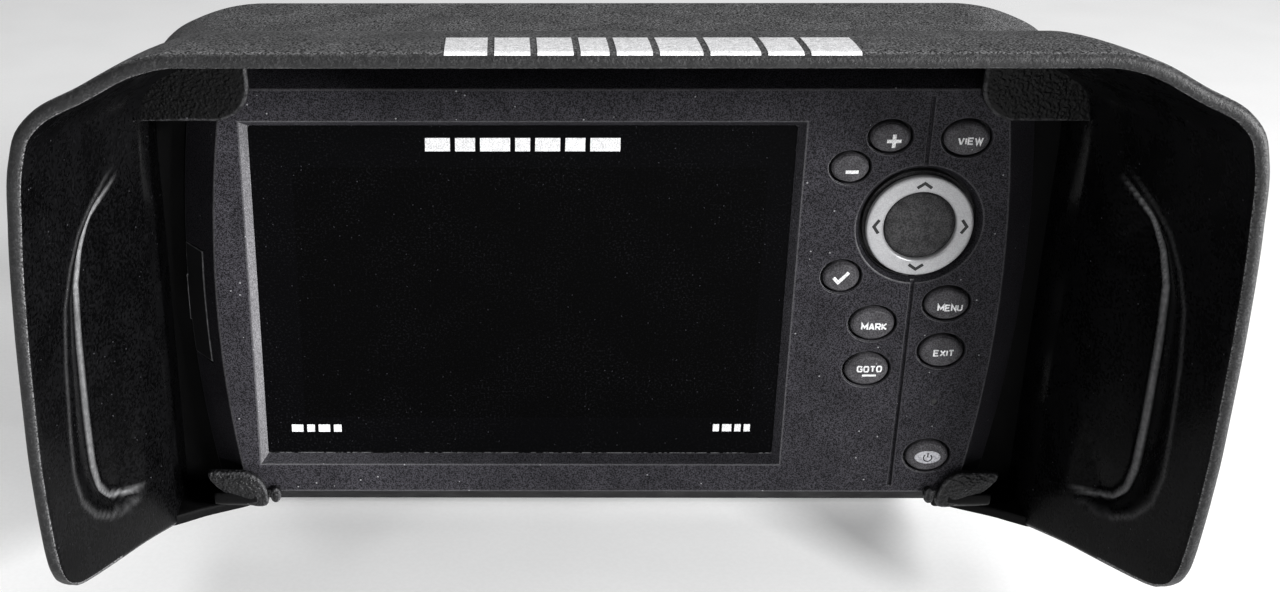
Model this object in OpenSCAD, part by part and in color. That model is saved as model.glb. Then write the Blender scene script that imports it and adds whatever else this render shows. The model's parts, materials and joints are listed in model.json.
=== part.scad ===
// Chartplotter display: a five inch unit with a keypad, in a clip-on sun visor, on a gimbal bracket.
// X runs to the right, Y away from the viewer and Z up. The origin is on the mounting surface, at the
// centre of the bracket's four screw holes. Inside display_frame(), Y = 0 is the flat front face and
// Z = 0 is the height of the tilt pivot, which is also the middle of the window.

/* [Front bezel] */
// Overall width of the bezel at its widest line
bezel_w = 199; // [197:0.5:199.5]
// Overall height of the bezel
bezel_h = 115; // [113:0.5:115.5]
// Height of the flat front face, inside the sloping border
face_h = 103.4; // [101:0.2:104]
// Half width of the flat face at mid height
face_half_w = 91.3; // [90:0.1:92]
// How far the flat face draws in from mid height to 44 mm above or below it
face_bow = 3.2; // [2:0.1:4]
// Depth over which the border slopes back
slope_depth = 10; // [8:0.5:11]
// Depth over which the lower border slopes back
chin_depth = 6; // [5.5:0.5:8]
// Depth of the bezel from its face to the parting line
bezel_depth = 14; // [13.5:0.5:15]
// Thickness of the face plate
plate_t = 3; // [2.6:0.1:3]
// Radius of the bezel's outer corners
bezel_corner_r = 12; // [11:0.5:14]

/* [Window and screen] */
// Left edge of the window recess, measured from the centre of the unit
window_left = -83.4; // [-84:0.1:-83]
// Right edge of the window recess
window_right = 43.2; // [43:0.1:44]
// Height of the window recess
window_h = 88.2; // [88:0.1:89]
// Width of the sloped border round the glass
window_slope = 1.6; // [1.2:0.1:1.8]
// Depth of the glass below the face
glass_drop = 2.5; // [2:0.1:2.6]
// Thickness of the glass
glass_t = 1.5; // [1:0.1:1.5]
// Centre of the screen's picture area, left or right of the unit's centre
screen_x = -18.3; // [-20:0.1:-17]
// Width of the picture area
screen_w = 108; // [104:0.5:108]
// Height of the picture area
screen_h = 64.8; // [60:0.1:65]

/* [Keypad] */
// Travel of each button
button_travel = 0.8; // [0.4:0.1:0.8]
// Gap between a button and its opening, at each side
button_gap = 0.6; // [0.4:0.05:0.8]
// How far the buttons stand out of the face
button_proud = 0.9; // [0.5:0.1:1.2]
// Distance of the vertical groove from the unit's centre
groove_x = 70.6; // [70:0.1:71]
// Height of the cursor pad's centre above mid height
pad_z = 19.3; // [19:0.1:19.6]
// Radius of the recess round the cursor pad
pad_recess_r = 14.5; // [14.2:0.1:14.8]
// Outer radius of the silver cursor ring
ring_outer_r = 12.2; // [11.8:0.1:12.2]
// Inner radius of the silver cursor ring
ring_inner_r = 8.25; // [8:0.05:8.5]

/* [Rear housing] */
// Width of the rear housing
housing_w = 170; // [168:0.5:170]
// Height of the rear housing
housing_h = 98; // [94:1:98]
// Depth of the back of the housing behind the face
housing_back = 47; // [46:0.5:48]
// Wall thickness of the housing
wall = 2.5; // [2:0.1:2.6]

/* [Visor] */
// Thickness of the visor's sheet
visor_t = 3; // [2.6:0.1:3]
// Depth of the visor's side edges in front of the face, at mid height
visor_depth = 60; // [50:1:66]
// Depth of the visor's top behind the face
hump_depth = 33; // [28:1:34]
// Depth of the visor's side walls behind the face
sleeve_depth = 18; // [17:0.5:19]

/* [Gimbal bracket] */
// Height of the tilt pivot above the mounting surface
pivot_h = 82; // [80:1:90]
// Depth of the tilt pivot behind the face
pivot_depth = 35; // [34:0.5:36]
// How far the pivot stands ahead of the middle of the base
pivot_lead = 38; // [36:1:44]
// Depth of the base, front to back
base_depth = 56; // [54:1:60]
// Thickness of the base
base_t = 5; // [4:0.5:6]
// Thickness of each arm
arm_t = 5.5; // [5:0.25:5.5]
// Distance between the screw holes, left to right
hole_span_x = 150; // [140:1:152]
// Distance between the screw holes, front to back
hole_span_y = 36; // [32:1:38]
// Radius of the screw holes
hole_r = 2.6; // [2.2:0.1:2.8]

/* [Hidden] */
$fn = 64;

overlap = 0.5;
big = 400;

// Front bezel
bow_span = 44;
bow_r = (bow_span * bow_span + face_bow * face_bow) / (2 * face_bow);
slope_run = bezel_w / 2 - face_half_w;
cavity_w = 177;
cavity_h = 100;
cavity_r = 10;
frame_t = 2.6;
frame_margin = 1.4;
glass_clear = 0.1;
glass_left = window_left + window_slope;
glass_right = window_right - window_slope;
glass_h = window_h - 2 * window_slope;
ledge = 2.6;
glass_back = glass_drop + glass_t;
glass_r = 1;
panel_gap = 0.2;
panel_t = 2.4;
panel_side = 3;
panel_end = 4;
panel_clear = 0.1;
frame_back = plate_t + frame_t;
tray_margin = 2.2;
tray_t = 3.8;
tray_back = frame_back + tray_t;
groove_w = 0.6;
groove_t = 0.8;

// Keypad: the centre and the opening's width and height of each button
plus_key = [62.0, 40.6, 10.2, 8.2];
minus_key = [53.6, 33.3, 9.6, 8.0];
view_key = [79.0, 40.3, 11.4, 9.2];
check_key = [53.9, 6.4, 9.6, 8.5];
mark_key = [62.3, -5.7, 11.4, 9.3];
goto_key = [62.0, -17.8, 11.4, 9.3];
menu_key = [79.1, -0.5, 11.4, 9.2];
exit_key = [79.2, -12.9, 11.4, 9.3];
power_key = [78.9, -41.5, 11.4, 9.3];
keys = [plus_key, minus_key, view_key, check_key, mark_key, goto_key, menu_key, exit_key, power_key];
lens_at = [79.1, -26.7];
lens_r = 0.7;
flange_gap = 0.2;
flange_t = 1;
flange_rim = 0.5;
post_r = 2.2;
post_bore_r = 0.9;
posts = [[49.2, 44.6], [49.2, -44.6], [84, -20.6], [66, -42]];
post_clear = 0.1;
pilot_grip = 0.02;
keypad_head_r = 1.9;
keypad_head_t = 1;
plunger_r = 1.5;
plunger_t = 0.8;
stop_gap = 0.1;
lens_w = 6.4;
lens_h = 3.7;
lens_t = 0.8;
rocker_floor = 4.2;
rocker_top = 1.6;
rocker_flange_r = 14.2;
rocker_flange_t = 0.55;
ridge_r = 0.6;
ridge_w = 16;
ridge_gap = 0.1;
ridge_y = rocker_floor + ridge_gap + ridge_r;
plate_back = 0.9;
plate_seat = 0.4;
ring_front = -0.9;
cap_front = -0.5;
cap_gap = 0.25;
skirt_r = ring_outer_r + 0.5;
membrane_front = plate_t + flange_gap + flange_t + plunger_t + button_travel + stop_gap;
membrane_t = 1;
board_t = 1.6;
keypad_left = 46.4;
keypad_right = 86.5;
keypad_h = 96;
keypad_r = 4;
board_inset = 0.4;
light_hole_r = 1.4;

// Rear housing
flange_inset = 0.8;
housing_flange_t = 3;
housing_front = bezel_depth + housing_flange_t;
housing_r = 9;
screw_side = [94.6, 36];
screw_top = [42, 54.2];
screw_r = 1.25;
screw_hole_r = 1.3;
screw_head_r = 2.6;
screw_head_t = 1.6;
screw_tip = 9;
cross_w = 4;
cross_t = 0.7;
cross_depth = 0.8;
rib_pitch = 11;
rib_t = 2.4;
rib_h = 36;
gasket_w = 1.6;
gasket_t = 1.4;
gasket_margin = 0.4;
boss_r = 10;
boss_t = 3;
boss_wall = 3;
insert_r = 4.4;
insert_l = 12;
seat_gap = 0.02;
stud_r = 3;
stud_clear = 0.05;
stud_reach = 11;
pad_t = 1.5;
socket_z = -20;
power_x = -17;
sonar_x = 17;
socket_collar_r = 8.5;
socket_bore_r = 6.4;
socket_flange_r = 10.5;
socket_out = 12;
socket_floor = 1.5;
socket_back = housing_back - 3;
contact_r = 0.55;
contact_ring_r = 3.4;
contact_l = 5;
main_front = 24;
main_w = 142;
main_h = 86;
board_screw_at = [66, 38];
board_screw_r = 1.5;
board_screw_l = 15;
board_head_r = 2.8;
board_head_t = 1.8;
board_post_r = 3.2;
card_z = -3.6;
card_h = 29;
card_y0 = 4.2;
card_y1 = 12;
card_grip = 0.3;
card_clear = 0.2;
card_slot_h = 14;
card_slot_t = 2.4;
grip_h = 12;
grip_t = 1.4;

// Visor
wing_flare = 0.22;
crease_lean = -0.04;
crease_y = -2.5;
rim_lean = -0.08;
brow_rise = 15;
brow_end = 106;
brow_fade = 22;
visor_clear = 0.7;
lip_t = 2.5;
tip_r = 10.5;
tip_z = -34;
hook_y0 = -3.6;
hook_y1 = -0.6;

// Gimbal bracket
face_y = -pivot_lead - pivot_depth;
arm_in = housing_w / 2 + boss_t + pad_t;
arm_out = arm_in + arm_t;
arm_eye_r = 11;
foot_half = 19;
arm_hole_r = 3.2;
base_r = 12;
knob_r = 12.5;
knob_t = 14;
knob_hub_r = 7;
knob_lobes = 6;
knob_step = 3;
lobe_r = 3.6;
scoop_r = 3.4;
nut_cap = 4;
spot_r = 5;
spot_t = 1.2;
base_rib_w = 128;
base_rib_t = 2.4;

// Puts a piece drawn about the display's face and pivot height into place
module display_frame() translate([0, face_y, pivot_h]) children();

// Extrudes an outline drawn in X and Z from depth y0 to depth y1
module slab(y0, y1) translate([0, y1, 0]) rotate([90, 0, 0]) linear_extrude(y1 - y0) children();

// Extrudes an outline drawn in Y and Z from x0 to x1
module slab_x(x0, x1) translate([x0, 0, 0]) rotate([90, 0, 90]) linear_extrude(x1 - x0) children();

// A round rod along Y
module rod_y(r, y0, y1) translate([0, y0, 0]) rotate([-90, 0, 0]) cylinder(r = r, h = y1 - y0);

// A round rod along X
module rod_x(r, x0, x1) translate([x0, 0, 0]) rotate([0, 90, 0]) cylinder(r = r, h = x1 - x0);

// A rectangle with round corners
module rounded(x0, x1, z0, z1, r) {
    translate([x0 + r, z0]) square([x1 - x0 - 2 * r, z1 - z0]);
    translate([x0, z0 + r]) square([x1 - x0, z1 - z0 - 2 * r]);
    for (x = [x0 + r, x1 - r], z = [z0 + r, z1 - r]) translate([x, z]) circle(r);
}

// A centred rectangle with round corners
module rounded_mid(w, h, r) rounded(-w / 2, w / 2, -h / 2, h / 2, r);

// An oval outline
function oval(w, h) = [for (i = [0 : 47]) [w / 2 * cos(i * 7.5), h / 2 * sin(i * 7.5)]];

// Draws children at both sides of the middle
module both_sides() {
    children();
    mirror([1, 0, 0]) children();
}

// ---------- Front bezel ----------

// The half space inside one bowed side of the bezel
module bowed_side(inset) {
    face_r = bow_r - inset;
    edge_r = bow_r + slope_run - inset;
    translate([face_half_w - bow_r, 0, 0]) rotate([-90, 0, 0]) rotate_extrude($fn = 360)
        polygon([[0, 0], [face_r, 0], [edge_r, slope_depth], [edge_r, big / 4], [0, big / 4]]);
}

module bezel_blank() {
    intersection() {
        bowed_side(0);
        mirror([1, 0, 0]) bowed_side(0);
        slab_x(-big / 2, big / 2) polygon([
            [0, -face_h / 2], [chin_depth, -bezel_h / 2], [bezel_depth, -bezel_h / 2],
            [bezel_depth, bezel_h / 2], [slope_depth, bezel_h / 2], [0, face_h / 2]]);
        slab(-1, bezel_depth + 1) rounded_mid(bezel_w, bezel_h, bezel_corner_r);
    }
}

// The hollow behind the face plate, with the solid frame left round the window
module bezel_cavity() {
    difference() {
        slab(plate_t, bezel_depth + 1) rounded_mid(cavity_w, cavity_h, cavity_r);
        slab(plate_t - 1, plate_t + frame_t)
            rounded(window_left - frame_margin, window_right + frame_margin,
                -window_h / 2 - frame_margin, window_h / 2 + frame_margin, 2);
    }
}

// The window: a sloped border, a seat for the glass and an opening for the screen
module window_opening() {
    intersection() {
        slab_x(-big / 2, big / 2) polygon([
            [-1, -window_h / 2 - window_slope / glass_drop],
            [glass_drop, -glass_h / 2], [glass_drop, glass_h / 2],
            [-1, window_h / 2 + window_slope / glass_drop]]);
        linear_extrude(big, center = true) polygon([
            [window_left - window_slope / glass_drop, -1], [glass_left, glass_drop],
            [glass_right, glass_drop], [window_right + window_slope / glass_drop, -1]]);
    }
    slab(glass_drop - overlap, glass_back)
        rounded(glass_left, glass_right, -glass_h / 2, glass_h / 2, glass_r);
    slab(glass_back - overlap, bezel_depth) rounded(glass_left + ledge, glass_right - ledge,
        -glass_h / 2 + ledge, glass_h / 2 - ledge, glass_r);
}

module keypad_openings() {
    for (k = keys) translate([k[0], 0, k[1]]) slab(-1, plate_t + 1) polygon(oval(k[2], k[3]));
    translate([groove_x, 0, pad_z]) rod_y(skirt_r + button_gap, -1, plate_t + 1);
    translate([groove_x, -1, pad_z]) rotate([-90, 0, 0])
        cylinder(r1 = pad_recess_r + 0.7, r2 = skirt_r + button_gap, h = plate_t - 0.2);
    translate([lens_at[0], 0, lens_at[1]]) rod_y(lens_r, -1, plate_t + 1);
    slab_x(groove_x - groove_w / 2, groove_x + groove_w / 2)
        polygon([[-1, -big / 8], [groove_t, -big / 8], [groove_t, big / 8], [-1, big / 8]]);
}

module screw_places() {
    for (sx = [-1, 1], sz = [-1, 1]) {
        translate([sx * screw_side[0], 0, sz * screw_side[1]]) children();
        translate([sx * screw_top[0], 0, sz * screw_top[1]]) children();
    }
}

module gasket_ring(clear) {
    inner_w = cavity_w + 2 * gasket_margin - 2 * clear;
    inner_h = cavity_h + 2 * gasket_margin - 2 * clear;
    band = 2 * gasket_w + 4 * clear;
    difference() {
        rounded_mid(inner_w + band, inner_h + band, cavity_r + gasket_margin + gasket_w + clear);
        rounded_mid(inner_w, inner_h, cavity_r + gasket_margin - clear);
    }
}

module front_bezel() color("#26262a") display_frame() difference() {
    union() {
        difference() {
            bezel_blank();
            bezel_cavity();
        }
        for (p = posts) translate([p[0], 0, p[1]]) rod_y(post_r, plate_t - overlap, membrane_front);
    }
    for (p = posts) translate([p[0], 0, p[1]]) rod_y(post_bore_r, plate_t, big / 4);
    window_opening();
    keypad_openings();
    screw_places() rod_y(screw_hole_r, screw_tip, bezel_depth + 1);
    slab(bezel_depth - gasket_t, bezel_depth + 1) gasket_ring(0.05);
    translate([-big / 4, card_y0 - card_clear, card_z - card_h / 2 - card_clear])
        cube([big / 4 - cavity_w / 2 - 1, card_y1 - card_y0 + 2 * card_clear, card_h + 2 * card_clear]);
    translate([-big / 4, (card_y0 + card_y1 - card_slot_t) / 2, card_z - card_slot_h / 2])
        cube([big / 4 - cavity_w / 2 + 2, card_slot_t, card_slot_h]);
}

// ---------- Window and screen ----------

module window_glass() color([0.02, 0.02, 0.03, 0.9]) display_frame()
    slab(glass_drop, glass_back) rounded(glass_left + glass_clear, glass_right - glass_clear,
        -glass_h / 2 + glass_clear, glass_h / 2 - glass_clear, glass_r - glass_clear);

module lcd_panel() color("#101014") display_frame()
    translate([screen_x - screen_w / 2 - panel_side, glass_back + panel_gap, -screen_h / 2 - panel_end])
        cube([screen_w + 2 * panel_side, panel_t, screen_h + 2 * panel_end]);

module lcd_tray() color("#8d9095") display_frame() difference() {
    slab(frame_back, tray_back) rounded(glass_left + ledge - tray_margin, glass_right - ledge + tray_margin,
        -glass_h / 2 + ledge - tray_margin, glass_h / 2 - ledge + tray_margin, glass_r);
    translate([screen_x - screen_w / 2 - panel_side - panel_clear, 0,
        -screen_h / 2 - panel_end - panel_clear])
        cube([screen_w + 2 * (panel_side + panel_clear), glass_back + panel_gap + panel_t,
            screen_h + 2 * (panel_end + panel_clear)]);
}

// ---------- Keypad ----------

// The round-topped ridge that the cursor pad rocks on
module pad_ridge() translate([groove_x - ridge_w / 2, ridge_y, pad_z]) {
    rod_x(ridge_r, 0, ridge_w);
    translate([0, 0, -ridge_r]) cube([ridge_w, membrane_front + overlap - ridge_y, 2 * ridge_r]);
}

module keypad_membrane() color("#3a3a3e") display_frame() difference() {
    union() {
        slab(membrane_front, membrane_front + membrane_t)
            rounded(keypad_left, keypad_right, -keypad_h / 2, keypad_h / 2, keypad_r);
        pad_ridge();
    }
    translate([lens_at[0], 0, lens_at[1]]) rod_y(light_hole_r, 0, big / 4);
    for (p = posts) translate([p[0], 0, p[1]]) rod_y(post_bore_r + post_clear, 0, big / 4);
}

module keypad_board() color("#1f5a34") display_frame() difference() {
    slab(membrane_front + membrane_t, membrane_front + membrane_t + board_t)
        rounded(keypad_left + board_inset, keypad_right - board_inset, -keypad_h / 2 + board_inset,
            keypad_h / 2 - board_inset, keypad_r - board_inset);
    for (p = posts) translate([p[0], 0, p[1]]) rod_y(post_bore_r + post_clear, 0, big / 4);
}

module keypad_screws() color("#9a9ca0") display_frame() for (p = posts) translate([p[0], 0, p[1]]) {
    head = membrane_front + membrane_t + board_t;
    rod_y(post_bore_r - pilot_grip, plate_t + overlap, head);
    rod_y(keypad_head_r, head, head + keypad_head_t);
}

// A push button: an oval cap through the face, a flange behind it and a plunger
module push_button(k) display_frame() translate([k[0], 0, k[1]]) {
    back = plate_t + flange_gap;
    slab(-button_proud, back) polygon(oval(k[2] - 2 * button_gap, k[3] - 2 * button_gap));
    slab(back, back + flange_t) polygon(oval(k[2] + 2 * flange_rim, k[3] + 2 * flange_rim));
    rod_y(plunger_r, back + flange_t, back + flange_t + plunger_t);
}

module button_plus() color("#3b3b40") push_button(plus_key);
module button_minus() color("#3b3b40") push_button(minus_key);
module button_view() color("#3b3b40") push_button(view_key);
module button_check() color("#3b3b40") push_button(check_key);
module button_mark() color("#3b3b40") push_button(mark_key);
module button_goto() color("#3b3b40") push_button(goto_key);
module button_menu() color("#3b3b40") push_button(menu_key);
module button_exit() color("#3b3b40") push_button(exit_key);

module power_pocket(grow) display_frame() translate([power_key[0], 0, power_key[1]])
    slab(-button_proud - grow, -button_proud + lens_t) polygon(oval(lens_w, lens_h));

module button_power() color("#3b3b40") difference() {
    push_button(power_key);
    power_pocket(1);
}

module power_lens() color("#c9c9cc") power_pocket(0);

module status_lens() color("#60656b") display_frame() translate([lens_at[0], 0, lens_at[1]])
    rod_y(lens_r - 0.05, 0.4, plate_t + 0.6);

// The rocker carries the ring and the cap on a vertical ridge, and rocks up and down itself
module pad_rocker() color("#1b1b1e") display_frame() translate([groove_x, 0, pad_z]) {
    rod_y(skirt_r, rocker_top, rocker_floor - rocker_flange_t);
    rod_y(rocker_flange_r, rocker_floor - rocker_flange_t, rocker_floor);
    translate([0, rocker_top + ridge_r / 4, 0]) cylinder(r = ridge_r, h = ridge_w - 2, center = true);
}

module pad_ring() color("#c3c3c6") display_frame() translate([groove_x, 0, pad_z])
    rotate([-90, 0, 0]) translate([0, 0, ring_front]) rotate_extrude() polygon([
        [ring_inner_r, 0.5], [ring_inner_r + 0.5, 0], [ring_outer_r - 0.5, 0], [ring_outer_r, 0.5],
        [ring_outer_r, plate_seat - ring_front], [ring_inner_r, plate_seat - ring_front]]);

// The cap fills the ring, and its wide back plate carries the ring
module pad_cap() color("#2c2c30") display_frame() translate([groove_x, 0, pad_z]) {
    rod_y(ring_inner_r - cap_gap, cap_front, plate_back);
    rod_y(ring_outer_r, plate_seat, plate_back);
}

// ---------- Rear housing ----------

module housing_gasket() color("#151515") display_frame()
    slab(bezel_depth - gasket_t + 0.05, bezel_depth) gasket_ring(0);

module housing_flange() {
    intersection() {
        slab(bezel_depth, housing_front) rounded_mid(bezel_w - 2 * flange_inset, bezel_h - 2 * flange_inset,
            bezel_corner_r);
        bowed_side(flange_inset);
        mirror([1, 0, 0]) bowed_side(flange_inset);
    }
}

module cooling_ribs() {
    for (i = [-6 : 6]) translate([i * rib_pitch, housing_back - overlap, 4]) cube([rib_t, 2, rib_h]);
}

module rear_housing() color("#1d1d20") display_frame() difference() {
    union() {
        housing_flange();
        slab(housing_front - overlap, housing_back) rounded_mid(housing_w, housing_h, housing_r);
        both_sides() translate([0, pivot_depth, 0])
            rod_x(boss_r, housing_w / 2 - overlap, housing_w / 2 + boss_t);
        cooling_ribs();
    }
    difference() {
        slab(bezel_depth - 1, housing_back - wall) rounded_mid(housing_w - 2 * wall, housing_h - 2 * wall,
            housing_r - wall);
        both_sides() translate([0, pivot_depth, 0])
            rod_x(insert_r + boss_wall, housing_w / 2 - insert_l, housing_w / 2);
        board_corners() rod_y(board_post_r, main_front + board_t, housing_back);
    }
    board_corners() rod_y(board_screw_r + 0.05, main_front, main_front + board_screw_l + 1);
    both_sides() translate([0, pivot_depth, 0])
        rod_x(insert_r + seat_gap, housing_w / 2 - insert_l - 1, big / 4);
    screw_places() rod_y(screw_hole_r, bezel_depth - 1, housing_front + 1);
    for (x = [power_x, sonar_x]) translate([x, 0, socket_z])
        rod_y(socket_collar_r + stud_clear, housing_back - wall - 1, housing_back + 1);
}

module housing_screws() color("#9a9ca0") display_frame() screw_places() {
    rod_y(screw_r, screw_tip + 0.5, housing_front);
    difference() {
        rod_y(screw_head_r, housing_front, housing_front + screw_head_t);
        for (a = [0, 90]) rotate([0, a, 0])
            translate([-cross_w / 2, housing_front + cross_depth, -cross_t / 2])
                cube([cross_w, screw_head_t, cross_t]);
    }
}

// ---------- Electronics ----------

module board_corners() for (x = [-1, 1], z = [-1, 1])
    translate([x * board_screw_at[0], 0, z * board_screw_at[1]]) children();

module main_board() color("#1f5a34") display_frame() difference() {
    slab(main_front, main_front + board_t) rounded_mid(main_w, main_h, keypad_r);
    board_corners() rod_y(board_screw_r + post_clear, 0, big / 4);
}

module board_screws() color("#9a9ca0") display_frame() board_corners() {
    rod_y(board_screw_r, main_front, main_front + board_screw_l);
    rod_y(board_head_r, main_front - board_head_t, main_front);
}

module shield_can() color("#b9bbbf") display_frame()
    translate([-48, main_front - 4, -30]) cube([44, 4, 34]);

module gps_antenna() color("#b8a88a") display_frame()
    translate([-12.5, main_front + board_t, 14]) cube([25, 4.5, 25]);

module buzzer() color("#141414") display_frame()
    translate([50, 0, 24]) rod_y(6.5, main_front - 6, main_front);

module backup_battery() color("#c4c6c8") display_frame()
    translate([26, 0, 22]) rod_y(10, main_front - 3.2, main_front);

module screen_cable() color("#a8742c") display_frame()
    translate([-22, tray_back, 14]) cube([16, main_front - tray_back, 0.3]);

module card_socket() color("#a9abae") display_frame() difference() {
    translate([-cavity_w / 2 + 1.2, (card_y0 + card_y1) / 2 - 2.2, card_z - 8]) cube([5.2, 4.4, 16]);
    translate([-cavity_w / 2, (card_y0 + card_y1) / 2 - 0.8, card_z - 6]) cube([5.4, 1.6, 12]);
}

// A rubber plug that fills the slot in the bezel's left side, with a thumb grip along it
module card_cover() color("#202022") display_frame() {
    intersection() {
        translate([-big / 4, card_y0, card_z - card_h / 2])
            cube([big / 4 - cavity_w / 2 - 1.2, card_y1 - card_y0, card_h]);
        bezel_blank();
    }
    translate([-bezel_w / 2 - card_grip, card_y1 - 2, card_z - grip_h / 2]) cube([4, grip_t, grip_h]);
}

// ---------- Connectors ----------

module contact_places() {
    children();
    for (a = [45 : 90 : 315]) translate([contact_ring_r * cos(a), 0, contact_ring_r * sin(a)]) children();
}

module socket_shell(x) display_frame() translate([x, 0, socket_z]) difference() {
    union() {
        rod_y(socket_collar_r, socket_back, housing_back + socket_out);
        rod_y(socket_flange_r, housing_back, housing_back + 1.6);
    }
    rod_y(socket_bore_r, socket_back + socket_floor, housing_back + socket_out + 1);
    contact_places() rod_y(contact_r + seat_gap, 0, big / 4);
}

module contacts(x) display_frame() translate([x, 0, socket_z]) contact_places()
    rod_y(contact_r, socket_back - 2, socket_back + socket_floor + contact_l);

module power_socket() color("#111113") socket_shell(power_x);
module sonar_socket() color("#111113") socket_shell(sonar_x);
module power_contacts() color("#c9a24a") contacts(power_x);
module sonar_contacts() color("#c9a24a") contacts(sonar_x);

// ---------- Pivot ----------

module pivot_inserts() color("#c9a24a") display_frame() both_sides() translate([0, pivot_depth, 0])
    difference() {
        rod_x(insert_r, housing_w / 2 - insert_l, housing_w / 2 + boss_t);
        rod_x(stud_r + stud_clear, 0, big / 4);
    }

module pivot_pads() color("#161616") display_frame() both_sides() translate([0, pivot_depth, 0])
    difference() {
        rod_x(boss_r, housing_w / 2 + boss_t, arm_in);
        rod_x(insert_r, 0, big / 4);
    }

module knob_stud() rod_x(stud_r, housing_w / 2 + boss_t - stud_reach, arm_out + knob_t - nut_cap);

module knob_body() difference() {
    union() {
        rod_x(knob_hub_r, arm_out, arm_out + knob_t);
        rod_x(knob_r - 1, arm_out + knob_step, arm_out + knob_t);
        for (i = [0 : knob_lobes - 1]) rotate([i * 360 / knob_lobes, 0, 0])
            translate([0, 0, knob_r - 3]) rod_x(lobe_r, arm_out + knob_step, arm_out + knob_t);
    }
    rod_x(stud_r + seat_gap, arm_out - 1, arm_out + knob_t - nut_cap);
    for (i = [0 : knob_lobes - 1]) rotate([(i + 0.5) * 360 / knob_lobes, 0, 0])
        translate([0, 0, knob_r + 1.5]) rod_x(scoop_r, arm_out, arm_out + knob_t + 1);
}

module at_pivot() display_frame() translate([0, pivot_depth, 0]) children();

module knob_right() color("#161618") at_pivot() knob_body();
module knob_left() color("#161618") at_pivot() mirror([1, 0, 0]) knob_body();
module knob_stud_right() color("#9a9ca0") at_pivot() knob_stud();
module knob_stud_left() color("#9a9ca0") at_pivot() mirror([1, 0, 0]) knob_stud();

// ---------- Visor ----------

// Half outlines in X and Z, from the middle of the top to the lowest point of the side
rim_half = [[0, 80.2], [45, 80.2], [84, 80.2], [91, 79], [102, 73.6], [110.6, 69], [114.2, 65],
    [116.3, 59], [118.4, 45], [120.2, 25], [121.3, 5], [121.9, -12], [121.8, -24], [121.3, -34],
    [120.3, -40.4]];
crease_half = [[0, 64.2], [45, 64.2], [80, 64.2], [88, 63], [96, 60.4], [102, 57.2], [105.6, 53],
    [107.2, 47], [107.8, 40], [108, 20], [108, 0], [108, -20], [108, -36], [108, -50], [108, -61.5]];
back_half = [[0, 62.4], [45, 62.4], [80, 62.4], [88, 61.6], [95, 59.4], [101.5, 56], [105.6, 51.6],
    [107.2, 46], [107.8, 40], [108, 20], [108, 0], [108, -20], [108, -36], [108, -50], [108, -61.5]];
half_n = len(rim_half);

function mirrored(half) = concat([for (i = [half_n - 1 : -1 : 1]) [-half[i][0], half[i][1]]], half);
function unit2(v) = v / norm(v);
function inward(line, i) =
    let (a = line[max(i - 1, 0)], b = line[min(i + 1, len(line) - 1)], d = unit2(b - a)) [-d[1], d[0]];
function offset_line(line, t) = [for (i = [0 : len(line) - 1]) line[i] - t * inward(line, i)];

// The lower edge of each wing in Y and Z, one point for each row, with a rounded tip at the front
visor_steps = [0, 0.1, 0.22, 0.4, 0.7, 1, 2];
wing_foot = [[-54.6, -40.4], [-50.3, -44.3], [-44, -47], [-33.5, -50.4], [-15.5, -56]];
function tip_back(z) = tip_r - sqrt(tip_r * tip_r - pow(min(0, z - tip_z), 2));
function foot_pull(u) = pow(max(0, abs(u) - 0.7) / 0.3, 1.6);
function back_reach(z) = sleeve_depth + (hump_depth - sleeve_depth) * min(1, max(0, (z - 15) / 37));

function rim_point(p) = [p[0], -visor_depth + rim_lean * p[1] + tip_back(p[1]), p[1]];
function crease_point(p) = [p[0], crease_y + crease_lean * p[1], p[1]];
function back_point(p) = [p[0], back_reach(p[1]), p[1]];

// How far the row at step k is pulled from a straight line to meet the wing's lower edge
function foot_shift(k) =
    let (a = rim_point(rim_half[half_n - 1]), b = crease_point(crease_half[half_n - 1]),
        p = a + visor_steps[k] * (b - a), foot = k < len(wing_foot) ? wing_foot[k] : [p[1], p[2]])
    [foot[0] - p[1], foot[1] - p[2]];

// How far the brow bulges above a straight line from the rim to the crease
function brow_arch(v, x) =
    v < 1 ? brow_rise * v * pow(1 - v, 1.2) * min(1, max(0, (brow_end - x) / brow_fade)) : 0;

// One row of the visor's surface, from the rim at step 0 to the crease and the back
function visor_row(k, t) =
    let (rim = offset_line(mirrored(rim_half), t), crease = offset_line(mirrored(crease_half), t),
        back = offset_line(mirrored(back_half), t), n = len(rim), v = visor_steps[k], shift = foot_shift(k))
    [for (i = [0 : n - 1])
        let (a = rim_point(rim[i]), b = crease_point(crease[i]), c = back_point(back[i]),
            p = v <= 1 ? a + v * (b - a) : c, pull = foot_pull(2 * i / (n - 1) - 1))
        [p[0] - sign(p[0]) * wing_flare * pull * shift[0], p[1] + pull * shift[0],
            p[2] + pull * shift[1] + brow_arch(v, abs(a[0]))]];

// Joins two equal rows of points, numbered from a and b, with triangles
function strip(a, b, n) =
    [for (i = [0 : n - 2]) each [[a + i, b + i, b + i + 1], [a + i, b + i + 1, a + i + 1]]];

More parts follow.
